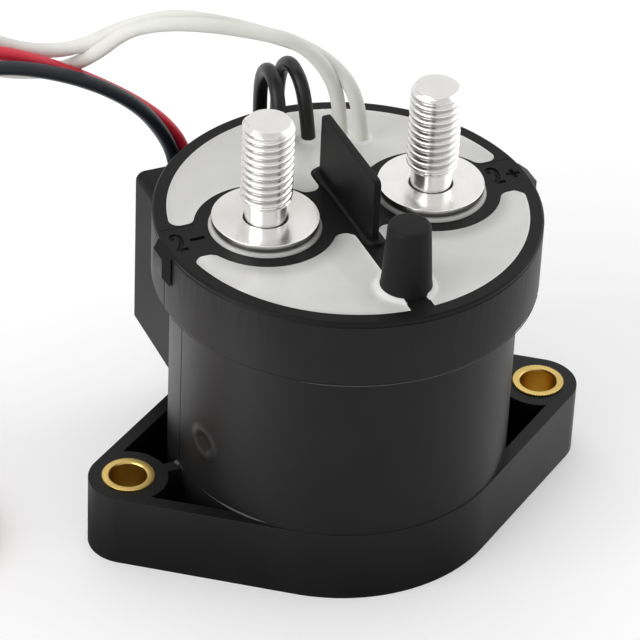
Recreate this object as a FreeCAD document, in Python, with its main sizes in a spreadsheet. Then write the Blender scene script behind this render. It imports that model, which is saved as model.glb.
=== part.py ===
import FreeCAD, Part
import math
import os
import re

import Sketcher
from FreeCAD import Placement, Vector

# Sealed high voltage contactor with two threaded stud terminals, a moulded cup with two
# bushed mounting ears, a potted top, four flying leads and a control box behind the cup.
# Millimetres. X runs through both studs and both mounting bushes, -Y is the front with
# the tube cap, +Y the back with the leads, +Z is up, and the origin is in the mounting
# plane, midway between the two bushes.

os.makedirs("parts", exist_ok=True)
doc = FreeCAD.newDocument("Contactor")

# Driving dimensions
DIMENSIONS = {
    # moulded cup and its mounting flange
    "ear_reach": 8.5,
    "flange_height": 12.5,
    "ear_radius": 6.3,
    "waist_margin": 0.2,
    "flange_wall": 2.25,
    "pocket_floor": 2.0,
    "rib_width": 2.0,
    "body_radius": 27.0,
    "body_wall": 2.2,
    "skirt_step": 3.0,
    "skirt_wall": 2.2,
    "skirt_height": 10.9,
    "ledge_rise": 2.5,
    "skirt_chamfer": 0.4,
    "cup_height": 54.2,
    "cup_floor": 2.5,
    # brass mounting bushes
    "bush_radius": 4.15,
    "bush_bore": 2.95,
    "bush_proud": 0.3,
    # top cover
    "cover_edge": 0.75,
    "cover_depth": 1.75,
    "cover_chamfer": 0.3,
    "collar_radius": 10.9,
    "collar_bore": 8.7,
    "arm_width": 8.6,
    "bridge_width": 12.0,
    "bar_width": 3.8,
    "tongue_reach": 11.8,
    "corner_share": 2.1,
    "pad_radius": 4.3,
    "bead_width": 3.2,
    "bead_length": 22.4,
    "bead_height": 0.85,
    "bead_round": 0.5,
    "tab_root_width": 5.4,
    "tab_face_width": 3.5,
    "tab_reach": 1.2,
    "tab_drop": 3.6,
    "tab_bevel": 0.8,
    "tab_undercut": 1.5,
    # terminals and studs
    "stud_offset": 0.5,
    "disc_radius": 8.25,
    "disc_thickness": 1.35,
    "disc_rise": 1.8,
    "shank_radius": 6.0,
    "face_drop": 6.0,
    "stud_radius": 4.0,
    "stud_rise": 17.3,
    "stud_end_radius": 3.15,
    "stud_chamfer": 0.85,
    "neck_radius": 3.2,
    "neck_rise": 2.9,
    "neck_sink": 1.5,
    "thread_runout": 0.5,
    "tapped_radius": 3.45,
    "tapped_depth": 9.0,
    # barrier between the terminals
    "barrier_length": 20.2,
    "barrier_thickness": 1.2,
    "barrier_rise": 11.15,
    "barrier_seat": 1.2,
    "barrier_round": 1.0,
    # cap over the evacuation tube
    "cap_inset": 6.2,
    "cap_height": 11.05,
    "cap_base_radius": 3.7,
    "cap_top_radius": 3.3,
    "cap_round": 0.5,
    "cap_bore": 2.4,
    "cap_roof": 1.2,
    "tube_radius": 1.5,
    "tube_wall": 0.5,
    "tube_inset": 5.0,
    "tube_crank": 1.8,
    "tube_end_margin": 0.7,
    # potting
    "pour_drop": 0.25,
    "pour_bead_rise": 0.45,
    "pour_bead_width": 0.35,
    # sealed chamber
    "chamber_inset": 1.9,
    "chamber_wall": 2.0,
    "chamber_roof": 3.0,
    "chamber_drop": 6.7,
    "ring_height": 2.0,
    "ring_foot": 0.6,
    "ring_lap": 0.9,
    "ring_gap": 0.3,
    # magnet frame and coil
    "yoke_gap": 0.3,
    "yoke_wall": 2.0,
    "yoke_floor": 2.0,
    "yoke_drop": 31.7,
    "plate_thickness": 3.0,
    "notch_width": 8.6,
    "notch_depth": 1.8,
    "lug_margin": 0.3,
    "lug_root": 1.5,
    "barrel_radius": 8.6,
    "bobbin_flange": 1.2,
    "bobbin_gap": 0.3,
    "winding_inset": 0.8,
    "pin_radius": 0.5,
    "pin_spacing": 4.4,
    "pin_inset": 1.1,
    "pin_rise": 22.5,
    # plunger, core and shaft
    "sleeve_radius": 7.35,
    "sleeve_wall": 0.45,
    "plunger_clearance": 0.08,
    "plunger_rest": 0.35,
    "plunger_drop": 10.6,
    "plunger_stroke": 2.0,
    "stroke_margin": 0.3,
    "core_neck_radius": 4.2,
    "spring_well_radius": 3.7,
    "plunger_well": 4.0,
    "core_well": 3.0,
    "shaft_radius": 1.75,
    "shaft_clearance": 0.08,
    "shaft_tail": 1.0,
    "shaft_tip": 0.9,
    "return_wire": 0.7,
    "return_coil_radius": 2.85,
    "return_turns": 6.0,
    # moving contact
    "contact_gap": 1.8,
    "tip_thickness": 0.5,
    "tip_radius": 3.6,
    "bridge_end_gap": 1.6,
    "bridge_bar_width": 10.0,
    "bridge_thickness": 2.3,
    "seat_radius": 5.2,
    "seat_thickness": 0.8,
    "seat_lift": 2.0,
    "contact_wire": 0.9,
    "contact_coil_radius": 3.6,
    "contact_turns": 4.0,
    "clip_radius": 3.4,
    "clip_thickness": 0.8,
    "clip_gap": 0.3,
    # blow-out magnets in their holders
    "holder_gap": 0.3,
    "holder_cheek": 1.0,
    "holder_height": 16.2,
    "magnet_length": 17.0,
    "magnet_thickness": 3.0,
    "magnet_height": 10.0,
    "magnet_inset": 7.0,
    "magnet_lift": 5.0,
    # auxiliary switch
    "switch_length": 10.0,
    "switch_width": 4.6,
    "switch_height": 4.0,
    "switch_x": 9.0,
    "switch_inset": 4.9,
    # control box
    "box_width": 41.2,
    "box_depth": 9.6,
    "box_base": 13.7,
    "box_clearance": 0.3,
    "box_wall": 1.6,
    "box_round": 1.5,
    "board_thickness": 1.2,
    "board_setback": 2.8,
    # free fit between pieces that only seat on each other, and how far a cutting tool runs past
    "fit_gap": 0.1,
    "cut_margin": 1.0,
    # leads
    "lead_radius": 1.05,
    "coil_mid_radius": 10.8,
    "coil_height": 3.95,
    "coil_grid": 32.0,
    "coil_centre_x": -84.0,
}

# Sizes that follow from them
FOLLOWING = {
    "bush_spacing": "2 * (body_radius + ear_reach)",
    "waist_radius": "body_radius + waist_margin",
    "skirt_radius": "body_radius + skirt_step",
    "skirt_base": "cup_height - skirt_height",
    "skirt_ledge": "skirt_base + ledge_rise",
    "stud_spacing": "body_radius + stud_offset",
    "window_round": "(skirt_radius - skirt_wall - stud_spacing / 2 - collar_radius) / corner_share",
    "disc_top": "cup_height + cover_edge + disc_rise",
    "stud_top": "disc_top + stud_rise",
    "cap_offset": "skirt_radius - skirt_wall - cap_inset",
    "chamber_top": "cup_height - chamber_drop",
    "contact_face": "chamber_top - face_drop",
    "yoke_height": "cup_height - yoke_drop",
    "plunger_length": "yoke_height - plunger_drop",
    "yoke_radius": "body_radius - body_wall - yoke_gap",
    "bobbin_radius": "yoke_radius - yoke_wall - bobbin_gap",
    "winding_radius": "bobbin_radius - winding_inset",
    "pin_offset": "yoke_radius - pin_inset",
    "chamber_radius": "yoke_radius - chamber_inset",
    "tube_foot_offset": "chamber_radius - tube_inset",
    "bridge_length": "2 * (chamber_radius - chamber_wall - bridge_end_gap)",
    "holder_radius": "chamber_radius - chamber_wall - holder_gap",
    "magnet_offset": "holder_radius - magnet_inset",
    "holder_face": "magnet_offset - holder_cheek",
    "switch_y": "chamber_radius - switch_inset",
    "box_top": "skirt_base - box_clearance",
    "box_back": "body_radius + box_depth",
}

sheet = doc.addObject("Spreadsheet::Sheet", "Sizes")
cells = {alias: str(value) for alias, value in DIMENSIONS.items()}
cells.update({alias: "=" + formula for alias, formula in FOLLOWING.items()})
for row, (alias, content) in enumerate(cells.items(), start=1):
    sheet.set(f"A{row}", alias)
    sheet.setAlias(f"B{row}", alias)
    sheet.set(f"B{row}", content)
doc.recompute()


def size(alias):
    """The value of a named size, in millimetres."""
    return float(sheet.get(alias))


def full(text):
    """An expression in which each size's name has its sheet in front."""
    return re.sub(r"[a-z_]+", lambda word: "Sizes." + word[0] if word[0] in cells else word[0], text)


def bind(item, prop, text):
    """Tie one property of an object to an expression of the named sizes."""
    item.setExpression(prop, full(text))


# Levels and radii that several pieces share, worked out from the driving dimensions
cover_top = "(cup_height + cover_edge)"
cover_base = f"({cover_top} - cover_depth)"
bead_top = f"({cover_top} + bead_height)"
pour_level = f"({cover_top} - pour_drop)"
skirt_bore = "(skirt_radius - skirt_wall)"
body_bore = "(body_radius - body_wall)"
stud_x = "(stud_spacing / 2)"
bush_x = "(bush_spacing / 2)"
disc_base = "(disc_top - disc_thickness)"
barrier_foot = f"({cover_top} - barrier_seat)"
cap_top = f"({cover_top} + cap_height)"
yoke_top = "(cup_floor + yoke_height)"
plate_top = f"({yoke_top} + plate_thickness)"
chamber_base = f"({plate_top} + ring_height)"
chamber_bore = "(chamber_radius - chamber_wall)"
sleeve_bore = "(sleeve_radius - sleeve_wall)"
slide_radius = f"({sleeve_bore} - plunger_clearance)"
plunger_base = "(cup_floor + sleeve_wall + plunger_rest)"
plunger_top = f"({plunger_base} + plunger_length)"
core_base = f"({plunger_top} + plunger_stroke + stroke_margin)"
winding_base = "(cup_floor + yoke_floor + bobbin_flange)"
winding_top = f"({yoke_top} - bobbin_flange - fit_gap)"
tip_top = "(contact_face - contact_gap)"
bridge_top = f"({tip_top} - tip_thickness)"
bridge_base = f"({bridge_top} - bridge_thickness)"
seat_base = f"({plate_top} + seat_lift)"
seat_top = f"({seat_base} + seat_thickness)"
clip_base = f"({bridge_top} + clip_gap)"
clip_top = f"({clip_base} + clip_thickness)"


# Modelling steps that the pieces share
def new_body(name):
    """An empty body whose label is the piece's name."""
    body = doc.addObject("PartDesign::Body", name)
    body.Label = name
    return body


def place(body, x="0", y="0", z="0"):
    """Tie a body's position to expressions."""
    for axis, text in zip("xyz", (x, y, z)):
        bind(body, f"Placement.Base.{axis}", text)


def outline(body, name, role, points, level="0"):
    """A closed sketch on one of the body's own planes, each corner tied to two expressions."""
    plane = next(item for item in body.Origin.OriginFeatures if item.Role == role)
    sketch = body.newObject("Sketcher::SketchObject", name)
    sketch.AttachmentSupport = [(plane, "")]
    sketch.MapMode = "FlatFace"
    bind(sketch, "AttachmentOffset.Base.z", level)
    count = len(points)
    start = [Vector(math.cos(2 * math.pi * k / count), math.sin(2 * math.pi * k / count), 0) for k in range(count)]
    for index in range(count):
        sketch.addGeometry(Part.LineSegment(start[index], start[(index + 1) % count]), False)
    for index in range(count):
        sketch.addConstraint(Sketcher.Constraint("Coincident", index, 2, (index + 1) % count, 1))
    for index, point in enumerate(points):
        for kind, text, seed in zip(("DistanceX", "DistanceY"), point, (start[index].x, start[index].y)):
            constraint = sketch.addConstraint(Sketcher.Constraint(kind, -1, 1, index, 1, seed))
            label = f"{kind[-1].lower()}{index}"
            sketch.renameConstraint(constraint, label)
            bind(sketch, f"Constraints.{label}", text)
    return sketch


def turned(body, name, points, cut=False):
    """A ring turned about the body's Z axis from (radius, height) corners."""
    sketch = outline(body, name + "Outline", "XZ_Plane", points)
    feature = body.newObject("PartDesign::Groove" if cut else "PartDesign::Revolution", name)
    feature.Profile = sketch
    feature.ReferenceAxis = (sketch, ["V_Axis"])
    feature.Angle = 360
    return feature


def prism(body, name, role, points, start, length, cut=False):
    """A straight prism along the plane's normal, between two levels of that normal."""
    sketch = outline(body, name + "Outline", role, points, start)
    feature = body.newObject("PartDesign::Pocket" if cut else "PartDesign::Pad", name)
    feature.Profile = sketch
    feature.Reversed = cut
    bind(feature, "Length", length)
    return feature


def block(body, name, low, high, cut=False):
    """A box between two opposite corners."""
    feature = body.newObject("PartDesign::SubtractiveBox" if cut else "PartDesign::AdditiveBox", name)
    for axis, side, near, far in zip("xyz", ("Length", "Width", "Height"), low, high):
        bind(feature, f"Placement.Base.{axis}", near)
        bind(feature, side, f"{far} - ({near})")
    return feature


def drum(body, name, radius, base, top, x="0", y="0", cut=False):
    """An upright cylinder between two levels."""
    feature = body.newObject("PartDesign::SubtractiveCylinder" if cut else "PartDesign::AdditiveCylinder", name)
    bind(feature, "Radius", radius)
    bind(feature, "Height", f"{top} - ({base})")
    for axis, text in zip("xyz", (x, y, base)):
        bind(feature, f"Placement.Base.{axis}", text)
    return feature


def rounded(body, name, base, radius, chosen):
    """A fillet on those edges of the feature that the test picks."""
    doc.recompute()
    picked = [f"Edge{index}" for index, edge in enumerate(base.Shape.Edges, start=1) if chosen(edge)]
    feature = body.newObject("PartDesign::Fillet", name)
    feature.Base = (base, picked)
    bind(feature, "Radius", radius)
    return feature


def spring(body, name, wire, coil_radius, base, top, turns):
    """A compression spring that stands between two seats with a little air at both."""
    lift = f"({base} + fit_gap + {wire} / 2)"
    sketch = body.newObject("Sketcher::SketchObject", name + "Wire")
    plane = next(item for item in body.Origin.OriginFeatures if item.Role == "XZ_Plane")
    sketch.AttachmentSupport = [(plane, "")]
    sketch.MapMode = "FlatFace"
    sketch.addGeometry(Part.Circle(Vector(size(coil_radius), 0, 0), Vector(0, 0, 1), size(wire) / 2), False)
    for kind, label, text in (("DistanceX", "reach", coil_radius), ("DistanceY", "rise", lift)):
        constraint = sketch.addConstraint(Sketcher.Constraint(kind, -1, 1, 0, 3, 1.0))
        sketch.renameConstraint(constraint, label)
        bind(sketch, f"Constraints.{label}", text)
    constraint = sketch.addConstraint(Sketcher.Constraint("Radius", 0, size(wire) / 2))
    sketch.renameConstraint(constraint, "wire")
    bind(sketch, "Constraints.wire", f"{wire} / 2")
    feature = body.newObject("PartDesign::AdditiveHelix", name)
    feature.Profile = sketch
    feature.ReferenceAxis = (sketch, ["V_Axis"])
    feature.Mode = "height-turns-angle"
    bind(feature, "Height", f"{top} - ({base}) - 2 * fit_gap - {wire}")
    bind(feature, "Turns", turns)
    return feature


def upright(edge):
    """Whether an edge is a straight one along Z."""
    ends = edge.Vertexes
    return len(ends) == 2 and abs(ends[0].X - ends[1].X) < 1e-6 and abs(ends[0].Y - ends[1].Y) < 1e-6


def lengthwise(edge):
    """Whether an edge is a straight one along Y."""
    ends = edge.Vertexes
    return len(ends) == 2 and abs(ends[0].X - ends[1].X) < 1e-6 and abs(ends[0].Z - ends[1].Z) < 1e-6


def level_at(edge, height):
    """Whether an edge lies wholly at one height."""
    return abs(edge.BoundBox.ZMin - height) < 1e-4 and abs(edge.BoundBox.ZMax - height) < 1e-4


# Moulded cup: the flange's outline is the hull of a circle round each ear and one round the waist
def flange(body, name, inset, base, top, cut=False):
    """The flange's outline drawn in by an inset, between two levels."""
    lean = f"((waist_radius - ear_radius) / {bush_x})"
    across = f"sqrt(1 - {lean} ^ 2)"
    ear = f"(ear_radius - {inset})"
    waist = f"(waist_radius - {inset})"
    ear_point = (f"{bush_x} + {ear} * {lean}", f"{ear} * {across}")
    waist_point = (f"{waist} * {lean}", f"{waist} * {across}")
    corners = []
    for point, x_sign, y_sign in (
        (ear_point, "1", "1"), (waist_point, "1", "1"), (waist_point, "-1", "1"), (ear_point, "-1", "1"),
        (ear_point, "-1", "-1"), (waist_point, "-1", "-1"), (waist_point, "1", "-1"), (ear_point, "1", "-1"),
    ):
        corners.append((f"{x_sign} * ({point[0]})", f"{y_sign} * ({point[1]})"))
    prism(body, name + "Plate", "XY_Plane", corners, base, f"{top} - ({base})", cut)
    drum(body, name + "Waist", waist, base, top, cut=cut)
    for side, sign in (("Left", "-1"), ("Right", "1")):
        drum(body, name + side, ear, base, top, x=f"{sign} * {bush_x}", cut=cut)


housing = new_body("housing")
flange(housing, "Flange", "0", "0", "flange_height")
flange(housing, "Pocket", "flange_wall", "pocket_floor", "flange_height", cut=True)
for side, sign in (("Left", "-1"), ("Right", "1")):
    drum(housing, "Boss" + side, "ear_radius", "0", "flange_height", x=f"{sign} * {bush_x}")
block(housing, "Rib", (f"-1 * {bush_x}", "-1 * rib_width / 2", "0"), (bush_x, "rib_width / 2", "flange_height"))
turned(housing, "Cup", [
    ("0", "0"),
    ("body_radius", "0"),
    ("body_radius", "skirt_base"),
    ("skirt_radius - skirt_chamfer", "skirt_base"),
    ("skirt_radius", "skirt_base + skirt_chamfer"),
    ("skirt_radius", "cup_height"),
    ("0", "cup_height"),
])
turned(housing, "Bore", [
    ("0", "cup_floor"),
    (body_bore, "cup_floor"),
    (body_bore, "skirt_ledge"),
    (skirt_bore, "skirt_ledge"),
    (skirt_bore, "cup_height"),
    ("0", "cup_height"),
], cut=True)
for side, sign in (("Left", "-1"), ("Right", "1")):
    drum(housing, "BushHole" + side, "bush_radius", "0", "flange_height", x=f"{sign} * {bush_x}", cut=True)

# Brass mounting bushes, a little proud of the flange
for side, sign in (("left", "-1"), ("right", "1")):
    bush = new_body("bush_" + side)
    place(bush, x=f"{sign} * {bush_x}")
    turned(bush, "Barrel" + side, [
        ("bush_bore", "0"),
        ("bush_radius", "0"),
        ("bush_radius", "flange_height + bush_proud"),
        ("bush_bore", "flange_height + bush_proud"),
    ])

# Top cover: a rim with two collars round the terminals, arms, a bridge and a bar between them
cover = new_body("top_cover")
turned(cover, "Rim", [
    (skirt_bore, cover_base),
    ("skirt_radius", cover_base),
    ("skirt_radius", f"{cover_top} - cover_chamfer"),
    ("skirt_radius - cover_chamfer", cover_top),
    (skirt_bore, cover_top),
])
rim_middle = f"(({skirt_bore} + skirt_radius) / 2)"
block(cover, "Arms", (f"-1 * {rim_middle}", "-1 * arm_width / 2", cover_base),
      (rim_middle, "arm_width / 2", cover_top))
for side, sign in (("Left", "-1"), ("Right", "1")):
    drum(cover, "Collar" + side, "collar_radius", cover_base, cover_top, x=f"{sign} * {stud_x}")
block(cover, "Bridge", (f"-1 * {stud_x}", "-1 * bridge_width / 2", cover_base),
      (stud_x, "bridge_width / 2", cover_top))
block(cover, "Bar", ("-1 * bar_width / 2", f"-1 * {rim_middle}", cover_base),
      ("bar_width / 2", "tongue_reach - bar_width / 2", cover_top))
drum(cover, "TongueEnd", "bar_width / 2", cover_base, cover_top, y="tongue_reach - bar_width / 2")
spider = drum(cover, "CapPad", "pad_radius", cover_base, cover_top, y="-1 * cap_offset")


def window_corner(edge):
    """Whether an edge is an inner corner of a window between the pad and the back rim."""
    if not upright(edge):
        return False
    x, y = edge.Vertexes[0].X, edge.Vertexes[0].Y
    inside = math.hypot(x, y) < size("skirt_radius") - size("skirt_wall") / 2
    on_tongue_end = abs(x) < size("bar_width") and y > size("bridge_width") / 2 + size("window_round")
    return inside and not on_tongue_end and y > 1 - size("cap_offset")


rounded(cover, "WindowCorners", spider, "window_round", window_corner)
turned(cover, "Spigot", [
    (skirt_bore, f"{cover_base} - cut_margin"),
    ("skirt_radius + cut_margin", f"{cover_base} - cut_margin"),
    ("skirt_radius + cut_margin", "cup_height"),
    (skirt_bore, "cup_height"),
], cut=True)
bead_end = "(bead_length / 2 - bead_width / 2)"
block(cover, "Bead", ("-1 * bead_width / 2", f"-1 * {bead_end}", cover_top),
      ("bead_width / 2", bead_end, bead_top))
drum(cover, "BeadFront", "bead_width / 2", cover_top, bead_top, y=f"-1 * {bead_end}")
bead = drum(cover, "BeadBack", "bead_width / 2", cover_top, bead_top, y=bead_end)
bead_level = size("cup_height") + size("cover_edge") + size("bead_height")
rounded(cover, "BeadRound", bead, "bead_round", lambda edge: level_at(edge, bead_level))
block(cover, "BarrierSlot", ("-1 * barrier_thickness / 2", "-1 * barrier_length / 2", barrier_foot),
      ("barrier_thickness / 2", "barrier_length / 2", bead_top), cut=True)
for side, sign in (("Left", "-1"), ("Right", "1")):
    drum(cover, "CollarBore" + side, "collar_bore", cover_base, cover_top, x=f"{sign} * {stud_x}", cut=True)
drum(cover, "TubeHole", "cap_bore", cover_base, cover_top, y="-1 * cap_offset", cut=True)

# Latch tabs of the cover, over the skirt beside each arm
for side, sign in (("Left", "-1"), ("Right", "1")):
    face = "(skirt_radius + tab_reach)"
    lip = f"({cover_top} - cover_chamfer)"
    prism(cover, "Tab" + side, "XZ_Plane", [
        (f"{sign} * (skirt_radius - cover_edge)", "cup_height"),
        (f"{sign} * (skirt_radius - cover_edge)", lip),
        (f"{sign} * skirt_radius", lip),
        (f"{sign} * {face}", f"{lip} - tab_bevel"),
        (f"{sign} * {face}", "cup_height - tab_drop"),
        (f"{sign} * (skirt_radius + fit_gap)", "cup_height - tab_drop - tab_undercut"),
        (f"{sign} * (skirt_radius + fit_gap)", "cup_height"),
    ], "-1 * tab_root_width / 2", "tab_root_width")
    for flank, hand in (("Front", "-1"), ("Back", "1")):
        prism(cover, "Tab" + side + flank, "XY_Plane", [
            (f"{sign} * skirt_radius", f"{hand} * tab_root_width / 2"),
            (f"{sign} * {face}", f"{hand} * tab_face_width / 2"),
            (f"{sign} * {face}", f"{hand} * tab_root_width / 2"),
        ], "cup_height - tab_drop - tab_undercut", cover_top + " - cup_height + tab_drop + tab_undercut", cut=True)

# Barrier that stands in the cover's slot
barrier = new_body("barrier")
wall = block(barrier, "Wall", ("-1 * barrier_thickness / 2", "-1 * barrier_length / 2", barrier_foot),
             ("barrier_thickness / 2", "barrier_length / 2", f"{cover_top} + barrier_rise"))
barrier_top = size("cup_height") + size("cover_edge") + size("barrier_rise")


def barrier_corner(edge):
    """Whether an edge is one of the barrier's two short top edges."""
    return level_at(edge, barrier_top) and edge.BoundBox.YLength < 1e-6


rounded(barrier, "WallCorners", wall, "barrier_round", barrier_corner)

# Terminals: a disc and a shank that goes down into the sealed chamber, and the studs in them
for side, sign in (("left", "-1"), ("right", "1")):
    terminal = new_body("terminal_" + side)
    place(terminal, x=f"{sign} * {stud_x}")
    turned(terminal, "Shank" + side, [
        ("0", "contact_face"),
        ("shank_radius", "contact_face"),
        ("shank_radius", disc_base),
        ("disc_radius", disc_base),
        ("disc_radius", "disc_top"),
        ("tapped_radius", "disc_top"),
        ("tapped_radius", "disc_top - tapped_depth"),
        ("0", "disc_top - tapped_depth"),
    ])
    stud = new_body("stud_" + side)
    place(stud, x=f"{sign} * {stud_x}")
    turned(stud, "Shaft" + side, [
        ("0", "disc_top - tapped_depth"),
        ("tapped_radius", "disc_top - tapped_depth"),
        ("tapped_radius", "disc_top - neck_sink"),
        ("neck_radius", "disc_top - neck_sink"),
        ("neck_radius", "disc_top + neck_rise"),
        ("stud_radius", "disc_top + neck_rise + thread_runout"),
        ("stud_radius", "stud_top - stud_chamfer"),
        ("stud_end_radius", "stud_top"),
        ("0", "stud_top"),
    ])

# Cap over the evacuation tube, on the cover's front pad
tube_cap = new_body("tube_cap")
place(tube_cap, y="-1 * cap_offset")
cap = turned(tube_cap, "Cap", [
    ("cap_bore", cover_top),
    ("cap_base_radius", cover_top),
    ("cap_top_radius", cap_top),
    ("0", cap_top),
    ("0", f"{cap_top} - cap_roof"),
    ("cap_bore", f"{cap_top} - cap_roof"),
])
cap_level = size("cup_height") + size("cover_edge") + size("cap_height")
rounded(tube_cap, "CapRound", cap, "cap_round", lambda edge: level_at(edge, cap_level))

# Sealed chamber of ceramic on a metal ring that is brazed to the magnet frame
chamber = new_body("ceramic_chamber")
turned(chamber, "Chamber", [
    (chamber_bore, chamber_base),
    ("chamber_radius", chamber_base),
    ("chamber_radius", "chamber_top"),
    ("0", "chamber_top"),
    ("0", "chamber_top - chamber_roof"),
    (chamber_bore, "chamber_top - chamber_roof"),
])
for side, sign in (("Left", "-1"), ("Right", "1")):
    drum(chamber, "ShankHole" + side, "shank_radius", "chamber_top - chamber_roof", "chamber_top",
         x=f"{sign} * {stud_x}", cut=True)
drum(chamber, "TubeHoleInRoof", "tube_radius", "chamber_top - chamber_roof", "chamber_top",
     y="-1 * tube_foot_offset", cut=True)

ring = new_body("seal_ring")
turned(ring, "Ring", [
    (f"{chamber_bore} + ring_gap", plate_top),
    ("chamber_radius", plate_top),
    ("chamber_radius", chamber_base),
    ("chamber_radius - ring_lap", chamber_base),
    ("chamber_radius - ring_lap", f"{plate_top} + ring_foot"),
    (f"{chamber_bore} + ring_gap", f"{plate_top} + ring_foot"),
])

# Magnet frame: a cup and a top plate, both notched at the back for the coil's terminals
notch_base = f"({yoke_top} - bobbin_flange - lug_margin - fit_gap)"
yoke_bore = "(yoke_radius - yoke_wall)"
yoke_cup = new_body("yoke_cup")
turned(yoke_cup, "YokeCup", [
    ("sleeve_radius + fit_gap", "cup_floor"),
    ("yoke_radius", "cup_floor"),
    ("yoke_radius", yoke_top),
    (yoke_bore, yoke_top),
    (yoke_bore, "cup_floor + yoke_floor"),
    ("sleeve_radius + fit_gap", "cup_floor + yoke_floor"),
])
block(yoke_cup, "CupNotch", ("-1 * notch_width / 2", f"{yoke_bore} - cut_margin", notch_base),
      ("notch_width / 2", "yoke_radius", yoke_top), cut=True)

yoke_plate = new_body("yoke_plate")
turned(yoke_plate, "Plate", [
    ("core_neck_radius", yoke_top),
    ("yoke_radius", yoke_top),
    ("yoke_radius", plate_top),
    ("core_neck_radius", plate_top),
])
block(yoke_plate, "PlateNotch", ("-1 * notch_width / 2", "yoke_radius - notch_depth", yoke_top),
      ("notch_width / 2", "yoke_radius", plate_top), cut=True)

# Coil: bobbin with a terminal lug through the notch, its winding and two pins
bobbin = new_body("coil_bobbin")
turned(bobbin, "Bobbin", [
    ("sleeve_radius + fit_gap", "cup_floor + yoke_floor"),
    ("bobbin_radius", "cup_floor + yoke_floor"),
    ("bobbin_radius", winding_base),
    ("barrel_radius", winding_base),
    ("barrel_radius", winding_top),
    ("bobbin_radius", winding_top),
    ("bobbin_radius", f"{winding_top} + bobbin_flange"),
    ("sleeve_radius + fit_gap", f"{winding_top} + bobbin_flange"),
])
lug_x = "(notch_width / 2 - lug_margin)"
lug_front = "(yoke_radius - notch_depth + fit_gap)"
block(bobbin, "LugFoot", (f"-1 * {lug_x}", "bobbin_radius - lug_root", winding_top),
      (lug_x, "yoke_radius - fit_gap", f"{winding_top} + bobbin_flange"))
block(bobbin, "Lug", (f"-1 * {lug_x}", lug_front, winding_top),
      (lug_x, "yoke_radius - fit_gap", plate_top))

winding = new_body("coil_winding")
turned(winding, "Winding", [
    ("barrel_radius", winding_base),
    ("winding_radius", winding_base),
    ("winding_radius", winding_top),
    ("barrel_radius", winding_top),
])

pins = new_body("coil_pins")
for side, sign in (("Left", "-1"), ("Right", "1")):
    drum(pins, "Pin" + side, "pin_radius", plate_top, f"{plate_top} + pin_rise",
         x=f"{sign} * pin_spacing / 2", y="pin_offset")

# Plunger in its sleeve under the fixed core, with the shaft that carries the moving contact
sleeve = new_body("guide_sleeve")
turned(sleeve, "Sleeve", [
    ("0", "cup_floor"),
    ("sleeve_radius", "cup_floor"),
    ("sleeve_radius", yoke_top),
    (sleeve_bore, yoke_top),
    (sleeve_bore, "cup_floor + sleeve_wall"),
    ("0", "cup_floor + sleeve_wall"),
])

core = new_body("fixed_core")
turned(core, "Core", [
    ("spring_well_radius", core_base),
    (sleeve_bore, core_base),
    (sleeve_bore, yoke_top),
    ("core_neck_radius", yoke_top),
    ("core_neck_radius", plate_top),
    ("shaft_radius + shaft_clearance", plate_top),
    ("shaft_radius + shaft_clearance", f"{core_base} + core_well"),
    ("spring_well_radius", f"{core_base} + core_well"),
])

plunger = new_body("plunger")
turned(plunger, "Slug", [
    ("shaft_radius", plunger_base),
    (slide_radius, plunger_base),
    (slide_radius, plunger_top),
    ("spring_well_radius", plunger_top),
    ("spring_well_radius", f"{plunger_top} - plunger_well"),
    ("shaft_radius", f"{plunger_top} - plunger_well"),
])

shaft = new_body("shaft")
drum(shaft, "Rod", "shaft_radius", f"{plunger_base} + shaft_tail", f"{clip_top} + shaft_tip")

return_spring = new_body("return_spring")
spring(return_spring, "ReturnCoil", "return_wire", "return_coil_radius",
       f"{plunger_top} - plunger_well", f"({core_base} + core_well)", "return_turns")

spring_seat = new_body("spring_seat")
turned(spring_seat, "Seat", [
    ("shaft_radius", seat_base),
    ("seat_radius", seat_base),
    ("seat_radius", seat_top),
    ("shaft_radius", seat_top),
])

contact_spring = new_body("contact_spring")
spring(contact_spring, "ContactCoil", "contact_wire", "contact_coil_radius", seat_top, bridge_base, "contact_turns")

bridge = new_body("contact_bridge")
bridge_end = "(bridge_length / 2 - bridge_bar_width / 2)"
block(bridge, "BridgeBar", (f"-1 * {bridge_end}", "-1 * bridge_bar_width / 2", bridge_base),
      (bridge_end, "bridge_bar_width / 2", bridge_top))
for side, sign in (("Left", "-1"), ("Right", "1")):
    drum(bridge, "BridgeEnd" + side, "bridge_bar_width / 2", bridge_base, bridge_top, x=f"{sign} * {bridge_end}")
drum(bridge, "BridgeHole", "shaft_radius + shaft_clearance", bridge_base, bridge_top, cut=True)

tips = new_body("bridge_tips")
for side, sign in (("Left", "-1"), ("Right", "1")):
    drum(tips, "Tip" + side, "tip_radius", bridge_top, tip_top, x=f"{sign} * {stud_x}")

clip = new_body("bridge_clip")
turned(clip, "Clip", [
    ("shaft_radius", clip_base),
    ("clip_radius", clip_base),
    ("clip_radius", clip_top),
    ("shaft_radius", clip_top),
])

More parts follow.
